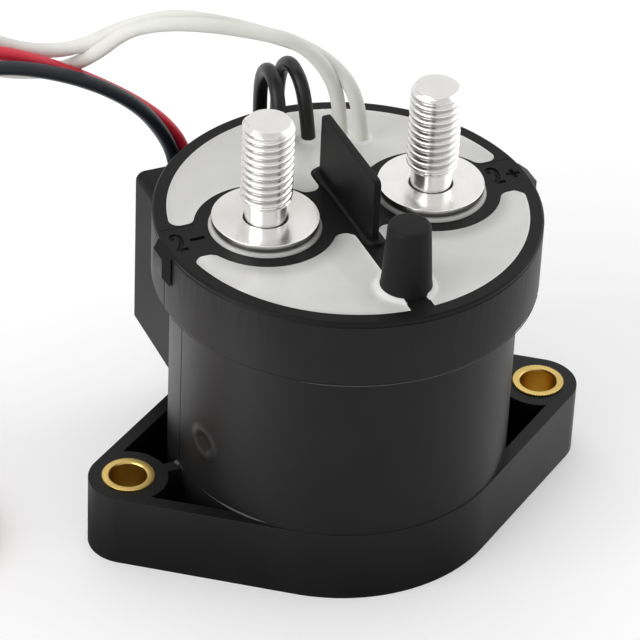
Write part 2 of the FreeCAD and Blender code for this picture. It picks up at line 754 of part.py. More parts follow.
# Blow-out magnets, each in a moulded holder beside the contacts
for side, sign in (("front", "-1"), ("back", "1")):
    holder = new_body("magnet_holder_" + side)
    drum(holder, "Segment" + side, "holder_radius", plate_top, f"{plate_top} + holder_height")
    if sign == "1":
        clear_low, clear_high = "-1 * holder_radius", "holder_face"
        slot_low, slot_high = "magnet_offset", "magnet_offset + magnet_thickness"
    else:
        clear_low, clear_high = "-1 * holder_face", "holder_radius"
        slot_low, slot_high = "-1 * magnet_offset - magnet_thickness", "-1 * magnet_offset"
    block(holder, "Clear" + side, ("-1 * holder_radius", clear_low, plate_top),
          ("holder_radius", clear_high, f"{plate_top} + holder_height"), cut=True)
    block(holder, "Slot" + side, ("-1 * magnet_length / 2", slot_low, f"{plate_top} + magnet_lift"),
          ("magnet_length / 2", slot_high, f"{plate_top} + holder_height"), cut=True)
    magnet = new_body("magnet_" + side)
    block(magnet, "Magnet" + side, ("-1 * magnet_length / 2", slot_low, f"{plate_top} + magnet_lift"),
          ("magnet_length / 2", slot_high, f"{plate_top} + magnet_lift + magnet_height"))

# Auxiliary switch on the chamber's roof, under the potting
switch = new_body("aux_switch")
block(switch, "Case", ("switch_x - switch_length / 2", "switch_y - switch_width / 2", "chamber_top"),
      ("switch_x + switch_length / 2", "switch_y + switch_width / 2", "chamber_top + switch_height"))

# Control box behind the cup, open where it meets the cup, with a board across its inside.
# The leads' holes in its top are given by X and by the distance behind the cup's radius.
LEAD_HOLES = {
    "Black": (-14.8, 6.0),
    "Red": (-12.2, 6.6),
    "JumperLeft": (-0.3, 6.8),
    "JumperRight": (2.3, 6.8),
}
box_x = "(box_width / 2)"
box = new_body("control_box")
shell = block(box, "Shell", (f"-1 * {box_x}", "body_radius / 2", "box_base"), (box_x, "box_back", "box_top"))
rounded(box, "ShellCorners", shell, "box_round", lengthwise)
drum(box, "CupSeat", "body_radius + fit_gap", "box_base", "box_top", cut=True)
block(box, "Inside", (f"-1 * {box_x} + box_wall", "0", "box_base + box_wall"),
      (f"{box_x} - box_wall", "box_back - box_wall", "box_top - box_wall"), cut=True)
for name, (x, y) in LEAD_HOLES.items():
    drum(box, "Hole" + name, "lead_radius + fit_gap", "box_top - box_wall", "box_top",
         x=str(x), y=f"body_radius + {y}", cut=True)

board = new_body("control_board")
board_back = "(box_back - box_wall - board_setback)"
board_front = f"({board_back} - board_thickness)"
block(board, "Board", (f"-1 * {box_x} + box_wall + fit_gap", board_front, "box_base + box_wall + fit_gap"),
      (f"{box_x} - box_wall - fit_gap", board_back, "box_top - box_wall - fit_gap"))

# Power transistor, capacitor and controller on the board's front face
BOARD_PARTS = {
    "Transistor": (12.5, 26.0, 9.0, 3.4, 10.0),
    "Capacitor": (-13.0, 32.0, 6.6, 4.6, 6.6),
    "Controller": (-12.5, 21.0, 6.0, 1.6, 5.0),
}
parts_body = new_body("board_parts")
for name, (x, z, wide, deep, tall) in BOARD_PARTS.items():
    block(parts_body, name, (str(x - wide / 2), f"{board_front} - {deep}", str(z - tall / 2)),
          (str(x + wide / 2), board_front, str(z + tall / 2)))


# Leads and the evacuation tube: straight runs joined by tangent arcs
ARC_SHARE = 0.45


def tube_path(points):
    """The wire through the points with its corners rounded, its length and its arcs' radii."""
    edges = []
    radii = []
    start = points[0]
    for before, corner, after in zip(points, points[1:], points[2:]):
        back = before - corner
        ahead = after - corner
        setback = ARC_SHARE * min(back.Length, ahead.Length)
        half_opening = back.getAngle(ahead) / 2
        radius = setback * math.tan(half_opening)
        back.normalize()
        ahead.normalize()
        toward_centre = back + ahead
        toward_centre.normalize()
        depth = radius / math.sin(half_opening) - radius
        first = corner + back * setback
        last = corner + ahead * setback
        edges.append(Part.LineSegment(start, first).toShape())
        edges.append(Part.Arc(first, corner + toward_centre * depth, last).toShape())
        radii.append(round(radius, 1))
        start = last
    edges.append(Part.LineSegment(start, points[-1]).toShape())
    path = Part.Wire(edges)
    return path, path.Length, radii


def swept(points, radius):
    """A round solid along the rounded path."""
    path, length, radii = tube_path(points)
    section = Part.Wire(Part.makeCircle(radius, points[0], points[1] - points[0]))
    solid = path.makePipeShell([section], True, False)
    expected = math.pi * radius ** 2 * length
    return solid, length, radii, solid.Volume / expected


def add_feature(name, shape):
    """A piece whose shape is worked out above."""
    feature = doc.addObject("Part::Feature", name)
    feature.Shape = shape
    feature.Placement = Placement()
    feature.Label = name
    return feature


doc.recompute()
roof_height = size("chamber_top") - size("chamber_roof")
tube_end = cap_level - size("cap_roof") - size("tube_end_margin")
foot = -size("tube_foot_offset")
top_y = -size("cap_offset")
crank_low = size("chamber_top") + size("tube_crank")
crank_high = crank_low + foot - top_y
outer_points = [Vector(0, foot, roof_height), Vector(0, foot, crank_low),
                Vector(0, top_y, crank_high), Vector(0, top_y, tube_end)]
inner_points = outer_points[:3] + [Vector(0, top_y, tube_end - 2 * size("tube_wall"))]
tube_outside = swept(outer_points, size("tube_radius"))
tube_inside = swept(inner_points, size("tube_radius") - size("tube_wall"))
tube = add_feature("evacuation_tube", tube_outside[0].cut(tube_inside[0]))
tube_room = add_feature("TubeRoom", tube_outside[0])
print("evacuation_tube length", round(tube_outside[1], 1), "radii", tube_outside[2])

# Routes of the leads. Ends in the control box, from the inside outwards: X, distance behind the
# cup's radius, height over the box's top.
BOX_ENDS = {
    "red_lead": [(-12.2, 6.6, -0.6), (-13.5, 6.6, 4.8)],
    "black_lead": [(-14.8, 6.0, -0.6), (-15.6, 5.6, 4.4)],
    "jumper_left": [(-0.3, 6.8, -0.6), (-0.3, 6.8, 7.6)],
    "jumper_right": [(2.3, 6.8, -0.6), (2.3, 6.8, 7.6)],
}
# Arches over the cover: X, distance behind the cup's radius, height over the cup's rim.
LEAD_ARCHES = {
    "white_lead_a": [
        (7.2, -7.5, 0.0), (6.5, -7.7, 6.2), (4.0, -7.8, 12.4), (-1.4, -7.0, 17.2), (-8.2, -5.2, 20.8),
        (-15.0, -3.2, 22.9), (-21.0, -1.0, 23.3), (-25.4, 2.1, 20.6), (-28.6, 6.3, 14.8),
        (-32.6, 10.2, 10.5), (-38.2, 12.8, 9.4), (-44.8, 14.2, 11.0), (-51.0, 14.4, 14.1),
        (-58.2, 13.8, 16.4), (-66.0, 11.8, 14.4),
    ],
    "white_lead_b": [
        (9.7, -10.0, 0.0), (9.2, -9.9, 6.0), (7.4, -8.0, 11.6), (2.8, -5.0, 15.7), (-3.9, -3.0, 18.6),
        (-11.0, -0.8, 20.8), (-18.0, 2.0, 21.8), (-24.4, 6.0, 18.8), (-31.1, 8.6, 14.7),
        (-38.8, 10.2, 15.0), (-46.5, 11.8, 18.7), (-55.5, 11.8, 21.6), (-65.0, 9.8, 20.4),
    ],
    "red_lead": [
        (-16.8, 6.7, -0.8), (-22.0, 7.0, 4.2), (-29.0, 7.0, 9.4), (-36.8, 7.2, 14.2),
        (-45.0, 7.6, 18.0), (-54.0, 7.4, 19.2), (-62.8, 5.8, 15.8),
    ],
    "black_lead": [
        (-18.2, 4.8, -1.4), (-22.4, 4.4, 3.9), (-28.6, 4.2, 9.0), (-36.4, 4.3, 13.4),
        (-45.0, 4.3, 16.6), (-54.5, 3.6, 17.7), (-64.0, 1.8, 14.6),
    ],
    "jumper_left": [
        (-2.4, -7.6, 0.0), (-2.8, -7.7, 5.2), (-2.8, -6.0, 9.6), (-2.4, -2.0, 11.1), (-1.7, 2.3, 8.7),
        (-0.8, 5.6, 3.6),
    ],
    "jumper_right": [
        (1.9, -7.0, 0.0), (1.3, -7.1, 5.4), (1.0, -5.5, 10.0), (0.9, -1.6, 11.5), (1.3, 2.6, 9.0),
        (1.9, 5.8, 3.7),
    ],
}
# Drops to the surface: X and Y from the middle of the lead's coil, height over the surface.
LEAD_DROPS = {
    "white_lead_a": [
        (-4.8, -6.6, 62.4), (-10.2, -8.8, 52.8), (-13.4, -10.1, 41.2), (-14.7, -10.7, 29.4),
        (-14.9, -10.8, 18.5), (-14.9, -10.8, 9.95), (-11.65, -10.8, 4.32), (-6.02, -10.8, 1.07),
        (-0.02, -10.8, 1.07),
    ],
    "white_lead_b": [
        (26.4, -9.0, 68.4), (19.4, -11.6, 58.8), (14.4, -13.4, 47.6), (11.6, -14.5, 35.8),
        (10.9, -14.9, 24.0), (10.8, -14.9, 9.95), (10.8, -11.65, 4.32), (10.8, -6.02, 1.07),
        (10.8, -0.02, 1.07),
    ],
    "red_lead": [
        (-2.2, 19.4, 62.6), (-7.2, 17.2, 52.6), (-9.8, 15.8, 41.2), (-10.7, 15.1, 29.4),
        (-10.8, 14.9, 18.6), (-10.8, 14.9, 9.95), (-10.8, 11.65, 4.32), (-10.8, 6.02, 1.07),
        (-10.8, 0.02, 1.07),
    ],
    "black_lead": [
        (27.5, 15.4, 61.8), (21.0, 13.0, 51.6), (17.0, 11.6, 40.2), (15.2, 11.0, 28.6),
        (14.9, 10.8, 18.2), (14.9, 10.8, 9.95), (11.65, 10.8, 4.32), (6.02, 10.8, 1.07),
        (0.02, 10.8, 1.07),
    ],
}
# Each free lead ends in a round coil on the surface the contactor stands on: its column and row.
COIL_PLACES = {
    "black_lead": (-1, -1),
    "red_lead": (1, -1),
    "white_lead_a": (1, 1),
    "white_lead_b": (-1, 1),
}


def route_of(name):
    """A lead's points in the part's own frame; a free lead starts in the box, a jumper ends there."""
    cup_back = size("body_radius")
    points = [Vector(x, cup_back + behind, size("cup_height") + over) for x, behind, over in LEAD_ARCHES[name]]
    boxed = [Vector(x, cup_back + behind, size("box_top") + over) for x, behind, over in BOX_ENDS.get(name, [])]
    if name not in COIL_PLACES:
        return points + boxed[::-1]
    column, row = COIL_PLACES[name]
    coil_x = size("coil_centre_x") + column * size("coil_grid") / 2
    coil_y = cup_back + row * size("coil_grid") / 2
    return boxed + points + [Vector(coil_x + x, coil_y + y, z) for x, y, z in LEAD_DROPS[name]]


leads = {}
for name in LEAD_ARCHES:
    solid, length, radii, share = swept(route_of(name), size("lead_radius"))
    leads[name] = add_feature(name, solid)
    print(name, "length", round(length, 1), "volume share", round(share, 4), "radii", radii)

for name, (column, row) in COIL_PLACES.items():
    coil = new_body(name + "_coil")
    place(coil, x=f"coil_centre_x + {column} * coil_grid / 2", y=f"body_radius + {row} * coil_grid / 2")
    turned(coil, name.title().replace("_", "") + "Coil", [
        ("coil_mid_radius - 2 * lead_radius", "0"),
        ("coil_mid_radius + 2 * lead_radius", "0"),
        ("coil_mid_radius + 2 * lead_radius", "coil_height"),
        ("coil_mid_radius - 2 * lead_radius", "coil_height"),
    ])

# Potting: fills the cup above the magnet frame and rises round each disc, less all that it surrounds
pour = doc.addObject("PartDesign::Body", "Pour")
turned(pour, "Fill", [
    ("0", plate_top),
    (body_bore, plate_top),
    (body_bore, "skirt_ledge"),
    (skirt_bore, "skirt_ledge"),
    (skirt_bore, pour_level),
    ("0", pour_level),
])
for side, sign in (("Left", "-1"), ("Right", "1")):
    drum(pour, "Seat" + side, "collar_bore", pour_level, disc_base, x=f"{sign} * {stud_x}")
    lip = pour.newObject("PartDesign::AdditiveCone", "Lip" + side)
    bind(lip, "Radius1", "collar_bore")
    bind(lip, "Radius2", "collar_bore - pour_bead_width")
    bind(lip, "Height", "pour_bead_rise")
    bind(lip, "Placement.Base.x", f"{sign} * {stud_x}")
    bind(lip, "Placement.Base.z", disc_base)
for side, sign in (("Left", "-1"), ("Right", "1")):
    drum(pour, "StudRoom" + side, "shank_radius", pour_level, f"{disc_base} + pour_bead_rise",
         x=f"{sign} * {stud_x}", cut=True)
drum(pour, "ChamberRoom", "chamber_radius", plate_top, "chamber_top", cut=True)

surrounded = doc.addObject("Part::MultiFuse", "Surrounded")
names = ("top_cover", "barrier", "terminal_left", "terminal_right", "stud_left", "stud_right", "aux_switch",
         "coil_pins", "white_lead_a", "white_lead_b", "jumper_left", "jumper_right")
surrounded.Shapes = [doc.getObjectsByLabel(name)[0] for name in names] + [tube_room]
potting = doc.addObject("Part::Cut", "Potting")
potting.Label = "potting"
potting.Base = pour
potting.Tool = surrounded

doc.recompute()

NODES = [
    item for item in doc.Objects
    if item.Label == item.Label.lower() and item.TypeId in ("PartDesign::Body", "Part::Feature", "Part::Cut")
]
for item in doc.Objects:
    if "Invalid" in item.State or "Error" in item.State:
        raise SystemExit(f"{item.Label} failed: {item.State}")
for item in NODES:
    if item.Shape.isNull() or not item.Shape.isValid():
        raise SystemExit(f"{item.Label} has no valid shape")
for item in NODES:
    item.Shape.exportStep(f"parts/{item.Label}.step")
    print(item.Label, len(item.Shape.Solids), "solid", round(item.Shape.Volume, 1), "mm3")
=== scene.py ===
import math

import bmesh
import bpy
from mathutils import Matrix, Vector, noise


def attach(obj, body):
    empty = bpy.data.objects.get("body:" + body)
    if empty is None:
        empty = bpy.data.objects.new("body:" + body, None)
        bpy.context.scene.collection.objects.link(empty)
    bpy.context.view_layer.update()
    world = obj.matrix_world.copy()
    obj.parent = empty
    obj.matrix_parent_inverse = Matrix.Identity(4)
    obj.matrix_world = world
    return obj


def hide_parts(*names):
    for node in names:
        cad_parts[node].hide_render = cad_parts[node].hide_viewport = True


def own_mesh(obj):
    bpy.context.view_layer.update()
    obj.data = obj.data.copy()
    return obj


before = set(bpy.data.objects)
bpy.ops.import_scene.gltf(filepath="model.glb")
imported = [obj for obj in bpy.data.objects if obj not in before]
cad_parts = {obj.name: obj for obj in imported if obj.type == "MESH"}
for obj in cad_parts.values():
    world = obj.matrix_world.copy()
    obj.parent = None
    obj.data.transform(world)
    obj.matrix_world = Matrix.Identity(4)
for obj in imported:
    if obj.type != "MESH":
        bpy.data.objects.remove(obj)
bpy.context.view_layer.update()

MM = 0.001


# Studio: a pale paper floor and three soft lamps round a long lens that looks down on the
# contactor. The camera stands where the photograph was taken from, rolled by a few degrees.
VIEW_AZIMUTH = math.radians(-24.658)
VIEW_ELEVATION = math.radians(36.019)
VIEW_ROLL = math.radians(2.703)
VIEW_DISTANCE = 606.208 * MM
VIEW_SHIFT = -3.524 * MM
AIM_HEIGHT = 33.73 * MM
FOCAL_LENGTH = 218.69
FLOOR_REACH = 4.0
PAPER_LIFT = 0.24
# Middle of the painted bright patch on the floor, which shows only in reflections
PAINTED_BRIGHT_PATCH = (-0.075, 0.01, 0)
LAMP_AIM = Vector((0, 0, 0.03))

backward = Vector((
    math.sin(VIEW_AZIMUTH) * math.cos(VIEW_ELEVATION),
    -math.cos(VIEW_AZIMUTH) * math.cos(VIEW_ELEVATION),
    math.sin(VIEW_ELEVATION),
))
level_right = Vector((math.cos(VIEW_AZIMUTH), math.sin(VIEW_AZIMUTH), 0))
level_up = backward.cross(level_right)
right = level_right * math.cos(VIEW_ROLL) + level_up * math.sin(VIEW_ROLL)
up = level_up * math.cos(VIEW_ROLL) - level_right * math.sin(VIEW_ROLL)
lens = bpy.data.cameras.new("Camera")
lens.lens = FOCAL_LENGTH
lens.sensor_width = 36.0
camera = bpy.data.objects.new("Camera", lens)
camera.matrix_world = Matrix.Translation(
    Vector((0, 0, AIM_HEIGHT)) + right * VIEW_SHIFT + backward * VIEW_DISTANCE
) @ Matrix((right, up, backward)).transposed().to_4x4()
bpy.context.scene.collection.objects.link(camera)
bpy.context.scene.camera = camera
bpy.context.scene.view_settings.view_transform = "Standard"


def new_material(name):
    """A material with a node tree, that tree and the shader of its surface."""
    material = bpy.data.materials.new(name)
    material.use_nodes = True
    return material, material.node_tree, material.node_tree.nodes["Principled BSDF"]


def feed(tree, node, inputs):
    """Gives each input of a node a plain value, or the socket that drives it."""
    for key, value in inputs.items():
        if isinstance(value, bpy.types.NodeSocket):
            tree.links.new(value, node.inputs[key])
        else:
            node.inputs[key].default_value = value


def add_node(tree, kind, inputs=None, **settings):
    """A node with its settings and inputs."""
    node = tree.nodes.new(kind)
    for key, value in settings.items():
        setattr(node, key, value)
    feed(tree, node, inputs or {})
    return node


def calc(tree, operation, first, second=0.0):
    """The result of a sum on numbers, each plain or from a socket."""
    return add_node(tree, "ShaderNodeMath", {0: first, 1: second}, operation=operation).outputs[0]


def vector_calc(tree, operation, first, second=(0, 0, 0)):
    """The results of a sum on vectors: a vector first, then a number named Value."""
    inputs = {0: first, 1: second}
    return add_node(tree, "ShaderNodeVectorMath", inputs, operation=operation).outputs


def ranged(tree, value, start, end, **settings):
    """A value carried over from one range to another, and held at the ends."""
    return add_node(tree, "ShaderNodeMapRange", {
        "Value": value,
        "From Min": start[0],
        "From Max": start[1],
        "To Min": end[0],
        "To Max": end[1],
    }, **settings).outputs["Result"]


def object_place(tree):
    """The place on a piece, in the piece's own frame."""
    return add_node(tree, "ShaderNodeTexCoord").outputs["Object"]


floor_mesh = bpy.data.meshes.new("Floor")
floor_mesh.from_pydata(
    [(x * FLOOR_REACH, y * FLOOR_REACH, 0) for x, y in ((-1, -1), (1, -1), (1, 1), (-1, 1))],
    [], [(0, 1, 2, 3)],
)
floor = bpy.data.objects.new("Floor", floor_mesh)
bpy.context.scene.collection.objects.link(floor)
paper, tree, shader = new_material("PalePaper")
feed(tree, shader, {
    "Base Color": (0.80, 0.80, 0.80, 1), "Roughness": 0.9, "Specular IOR Level": 0.0,
})
ray = add_node(tree, "ShaderNodeLightPath").outputs
lift = calc(tree, "MULTIPLY", ray["Is Camera Ray"], PAPER_LIFT)
glow = add_node(tree, "ShaderNodeEmission", {"Strength": lift})
lit = add_node(tree, "ShaderNodeAddShader", {0: shader.outputs[0], 1: glow.outputs[0]})
# In reflections the paper glows with painted light: a painted contact shadow dims it close to the
# contactor, and a painted bright patch lights it on the left of it
spot = object_place(tree)
across = add_node(tree, "ShaderNodeSeparateXYZ", {0: spot}).outputs["X"]
flat = vector_calc(tree, "MULTIPLY", spot, (0.65, 1, 0))[0]
reach = vector_calc(tree, "LENGTH", flat)["Value"]
aside = vector_calc(tree, "DISTANCE", spot, PAINTED_BRIGHT_PATCH)["Value"]
near = ranged(tree, across, (0.01, 0.05), (0.2, 1.1))
painted_patch_level = ranged(tree, aside, (0.03, 0.065), (3.2, 1.0))
painted_floor_reflection = ranged(tree, reach, (0.030, 0.052), (near, painted_patch_level))
painted_floor_glow = add_node(tree, "ShaderNodeEmission", {"Strength": painted_floor_reflection})
either = add_node(tree, "ShaderNodeMixShader", {
    "Fac": ray["Is Glossy Ray"], 1: lit.outputs[0], 2: painted_floor_glow.outputs[0],
})
feed(tree, tree.nodes["Material Output"], {"Surface": either.outputs[0]})
floor_mesh.materials.append(paper)

# The surroundings are white to the camera and weaker as light; reflections of them are
# brightest near the horizon
studio = bpy.data.worlds.new("Studio")
bpy.context.scene.world = studio
studio.use_nodes = True
sky = studio.node_tree
ray = add_node(sky, "ShaderNodeLightPath").outputs
looked_at = calc(sky, "MAXIMUM", ray["Is Glossy Ray"], ray["Is Transmission Ray"])
heading = add_node(sky, "ShaderNodeTexCoord").outputs["Generated"]
upward = add_node(sky, "ShaderNodeSeparateXYZ", {0: heading}).outputs["Z"]
reflected = ranged(sky, upward, (0.1, 1.0), (1.0, 0.62))
mirrored = ranged(sky, looked_at, (0.0, 1.0), (0.52, reflected))
level = ranged(sky, ray["Is Camera Ray"], (0.0, 1.0), (mirrored, 1.0))
feed(sky, sky.nodes["Background"], {"Strength": level, "Color": (1, 1, 1, 1)})

for name, place, width, height, power in (
    ("LeftSoftbox", (-0.84, -0.22, 0.40), 0.8, 0.8, 5.8),
    ("RightSoftbox", (0.84, 0.08, 0.45), 1.15, 1.15, 3.1),
    ("TopSoftbox", (-0.05, 0.35, 0.95), 1.0, 0.8, 2.6),
):
    lamp = bpy.data.lights.new(name, "AREA")
    lamp.shape = "RECTANGLE"
    lamp.size = width
    lamp.size_y = height
    lamp.energy = power
    item = bpy.data.objects.new(name, lamp)
    item.location = place
    item.rotation_euler = (LAMP_AIM - Vector(place)).to_track_quat("-Z", "Y").to_euler()
    bpy.context.scene.collection.objects.link(item)


# Moulded cup with its eared mounting flange: glass-filled black nylon out of a two-part mould.
# The mould leaves a parting line up the side, a round gate mark, a little flash round the foot
# and the fine grain of its spark-eroded walls.
CUP_RADIUS = 27.0
SKIRT_RADIUS = 30.0
SKIRT_BASE = 43.3
CUP_HEIGHT = 54.2
FLANGE_HEIGHT = 12.5
MOULD_EDGE = 0.2
WELD = 0.002
FLAT_ANGLE = math.radians(0.4)
EDGE_ANGLE = math.radians(38)
GATE = (-26.02, -7.2, 21.7)
GATE_REACH = 3.6
GATE_RING = ((0.38, 0.12), (0.56, 0.9), (0.72, 0.7), (0.88, 0.36))
NYLON = (0.0080, 0.0080, 0.0083)


def link_piece(name, mesh):
    """A new piece with the given mesh, at the origin."""
    piece = bpy.data.objects.new(name, mesh)
    bpy.context.scene.collection.objects.link(piece)
    return piece


def clad(piece, material):
    """Gives a piece one material and no other."""
    piece.data.materials.clear()
    piece.data.materials.append(material)


def mesh_from(name, form):
    """A mesh out of a form that has been built up, which is then let go."""
    mesh = bpy.data.meshes.new(name)
    form.to_mesh(mesh)
    form.free()
    return mesh


def bake(piece):
    """Turns a piece and its modifiers into a plain mesh."""
    graph = bpy.context.evaluated_depsgraph_get()
    mesh = bpy.data.meshes.new_from_object(piece.evaluated_get(graph))
    piece.modifiers.clear()
    piece.data = mesh


def smooth(mesh, sharpest=32):
    """Shades a mesh smoothly except over its sharp edges."""
    mesh.shade_smooth()
    mesh.set_sharp_from_angle(angle=math.radians(sharpest))


def settle(piece, sharpest=32):
    """Smooth shading in which broad faces stay flat and rounded edges turn evenly between them."""
    smooth(piece.data, sharpest)
    shading = piece.modifiers.new("Shading", "WEIGHTED_NORMAL")
    shading.keep_sharp = True
    bake(piece)


def moulded_from(node, name, edge, cutters=()):
    """A piece in a CAD node's form, its edges rounded as moulding leaves them, then cut."""
    form = bmesh.new()
    form.from_mesh(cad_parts[node].data)
    bmesh.ops.remove_doubles(form, verts=form.verts, dist=WELD * MM)
    bmesh.ops.dissolve_limit(form, angle_limit=FLAT_ANGLE, verts=form.verts, edges=form.edges)
    piece = link_piece(name, mesh_from(name, form))
    rounding = piece.modifiers.new("Rounding", "BEVEL")
    rounding.width = edge * MM
    rounding.segments = 3
    rounding.angle_limit = EDGE_ANGLE
    rounding.miter_outer = "MITER_ARC"
    for cutter in cutters:
        cut = piece.modifiers.new("Cut", "BOOLEAN")
        cut.object = cutter
        cut.solver = "EXACT"
    bake(piece)
    for cutter in cutters:
        bpy.data.objects.remove(cutter)
    return piece


def joined(name, *pieces):
    """One piece out of several, each of one material at most."""
    form = bmesh.new()
    mesh = bpy.data.meshes.new(name)
    for piece in pieces:
        start = len(form.faces)
        form.from_mesh(piece.data)
        form.faces.ensure_lookup_table()
        for material in piece.data.materials:
            if material not in list(mesh.materials):
                mesh.materials.append(material)
            slot = list(mesh.materials).index(material)
            for face in form.faces[start:]:
                face.material_index = slot
        bpy.data.objects.remove(piece)
    form.to_mesh(mesh)
    form.free()
    return link_piece(name, mesh)


def lathe(name, outline, centre=(0.0, 0.0), steps=128, closed=True):
    """A turned piece: an outline of (radius, height) swept round an upright axis, in mm."""
    form = bmesh.new()
    rings = []
    for radius, height in outline:
        if radius == 0:
            rings.append([form.verts.new((centre[0] * MM, centre[1] * MM, height * MM))] * steps)
            continue
        ring = []
        for step in range(steps):
            angle = 2 * math.pi * step / steps
            ring.append(form.verts.new((
                (centre[0] + radius * math.cos(angle)) * MM,
                (centre[1] + radius * math.sin(angle)) * MM,
                height * MM,
            )))
        rings.append(ring)
    following = rings[1:] + (rings[:1] if closed else [])
    for ring, after in zip(rings, following):
        for step in range(steps):
            corners = (ring[step], ring[(step + 1) % steps], after[(step + 1) % steps], after[step])
            if len(set(corners)) > 2:
                form.faces.new(list(dict.fromkeys(corners)))
    bmesh.ops.recalc_face_normals(form, faces=form.faces)
    piece = link_piece(name, mesh_from(name, form))
    smooth(piece.data)
    return piece


def drawn_line(name, points, radius):
    """A closed round bar along points of (x, y, z, share of the radius), in millimetres."""
    line = bpy.data.curves.new(name, "CURVE")
    line.dimensions = "3D"
    line.bevel_depth = radius * MM
    line.bevel_resolution = 2
    line.resolution_u = 6
    line.use_fill_caps = True
    path = line.splines.new("NURBS")
    path.points.add(len(points) - 1)
    for spot, (x, y, z, share) in zip(path.points, points):
        spot.co = (x * MM, y * MM, z * MM, 1)
        spot.radius = share
    path.order_u = 3 if len(points) > 2 else 2
    path.use_endpoint_u = True
    bar = link_piece(name, line)
    graph = bpy.context.evaluated_depsgraph_get()
    form = bmesh.new()
    form.from_mesh(bpy.data.meshes.new_from_object(bar.evaluated_get(graph)))
    bpy.data.objects.remove(bar)
    bmesh.ops.remove_doubles(form, verts=form.verts, dist=WELD * MM)
    bmesh.ops.recalc_face_normals(form, faces=form.faces)
    return link_piece(name, mesh_from(name, form))


def groove(name, low, high):
    """A thin box that cuts a line into a moulded piece."""
    form = bmesh.new()
    bmesh.ops.create_cube(form, size=1.0)
    for vert in form.verts:
        corner = [a + (share + 0.5) * (b - a) for a, b, share in zip(low, high, vert.co)]
        vert.co = Vector(corner) * MM
    return link_piece(name, mesh_from(name, form))


def cloudy(tree, place, scale, detail, distortion=0.0):
    """A cloudy value that changes slowly over a piece."""
    inputs = {"Vector": place, "Scale": scale, "Detail": detail, "Distortion": distortion}
    return add_node(tree, "ShaderNodeTexNoise", inputs).outputs["Fac"]


def tinted(shade, share):
    """A shade made darker or lighter."""
    return tuple(min(1.0, channel * share) for channel in shade)


def two_tone(tree, value, start, end, dark, light):
    """A colour that goes from dark to light as a value rises from start to end."""
    ramp = add_node(tree, "ShaderNodeValToRGB", {"Fac": value})
    for element, position, tone in zip(ramp.color_ramp.elements, (start, end), (dark, light)):
        element.position = position
        element.color = (*tone, 1)
    return ramp.outputs["Color"]


def blend(tree, share, under, over):
    """A colour laid over another by a share."""
    mix = add_node(tree, "ShaderNodeMix", {0: share, 6: under, 7: over}, data_type="RGBA")
    return mix.outputs[2]


def specks(tree, place, scale, size, strength, rarity):
    """Small round specks in a few cells only, as a share of the specks' colour."""
    dust = add_node(tree, "ShaderNodeTexVoronoi", {"Vector": place, "Scale": scale}).outputs
    dot = ranged(tree, dust["Distance"], size, (strength, 0.0))
    return calc(tree, "MULTIPLY", dot, calc(tree, "GREATER_THAN", dust["Color"], rarity))


def bumped(tree, height, strength, depth, under=None, **settings):
    """A surface that rises and falls by a depth in millimetres, over another if one is given."""
    inputs = {"Height": height, "Strength": strength, "Distance": depth * MM}
    if under is not None:
        inputs["Normal"] = under
    return add_node(tree, "ShaderNodeBump", inputs, **settings).outputs[0]


def moulded_plastic(name, shade, roughness, specular=0.18):
    """Glass-filled plastic: fine spark grain, slow clouds in tone and gloss, a few pale specks."""
    material, tree, shader = new_material(name)
    place = object_place(tree)
    fine = cloudy(tree, place, 3200.0, 4.0)
    cloud = cloudy(tree, place, 85.0, 3.0)
    dark, light, pale = (tinted(shade, share) for share in (0.82, 1.2, 6))
    tone = two_tone(tree, cloud, 0.3, 0.72, dark, light)
    dots = specks(tree, place, 420.0, (0.03, 0.06), 0.35, 0.93)
    swell = bumped(tree, cloud, 0.25, 0.08, name="Swell")
    feed(tree, shader, {
        "Base Color": blend(tree, dots, tone, (*pale, 1)),
        "Roughness": ranged(tree, cloud, (0.0, 1.0), (roughness - 0.05, roughness + 0.07)),
        "Specular IOR Level": specular,
        "Normal": bumped(tree, fine, 0.35, 0.018, swell),
    })
    return material


def round_cup(radius, height, *marks):
    """Points round the cup at angles in degrees, each with its line's share of thickness."""
    points = []
    for angle, share in marks:
        turn = math.radians(angle)
        points.append((radius * math.cos(turn), radius * math.sin(turn), height, share))
    return points


# The cup's nylon carries the round mark of the gate, sunk a little inside a raised ring
cup_nylon = moulded_plastic("CupNylon", NYLON, 0.42)
tree = cup_nylon.node_tree
shader = tree.nodes["Principled BSDF"]
gate = tuple(axis * MM for axis in GATE)
away = vector_calc(tree, "DISTANCE", object_place(tree), gate)["Value"]
out = ranged(tree, away, (0.0, GATE_REACH * MM), (0.0, 1.0))
ring = add_node(tree, "ShaderNodeValToRGB", {"Fac": out})
ring.color_ramp.interpolation = "B_SPLINE"
ring.color_ramp.elements[0].color = (0.1, 0.1, 0.1, 1)
ring.color_ramp.elements[1].color = (0.35, 0.35, 0.35, 1)
for spot, tone in GATE_RING:
    ring.color_ramp.elements.new(spot).color = (tone, tone, tone, 1)
feed(tree, tree.nodes["Swell"], {"Normal": bumped(tree, ring.outputs["Color"], 0.8, 0.6)})
# The raised ring is painted a little lighter, partly as rubbed wear and partly as a painted sheen
rubbed_and_sheen = ranged(tree, ring.outputs["Color"], (0.4, 0.9), (0.0, 0.011))
bare = shader.inputs["Base Color"].links[0].from_socket
feed(tree, shader, {"Base Color": vector_calc(tree, "ADD", bare, rubbed_and_sheen)[0]})
# This nylon is paler than the cup. On the foot and the rib it is partly real flash and partly a
# painted glint, and it also makes painted highlight lines
flash_and_highlight_nylon = moulded_plastic("FlashAndHighlightNylon", (0.07, 0.07, 0.07), 0.4)

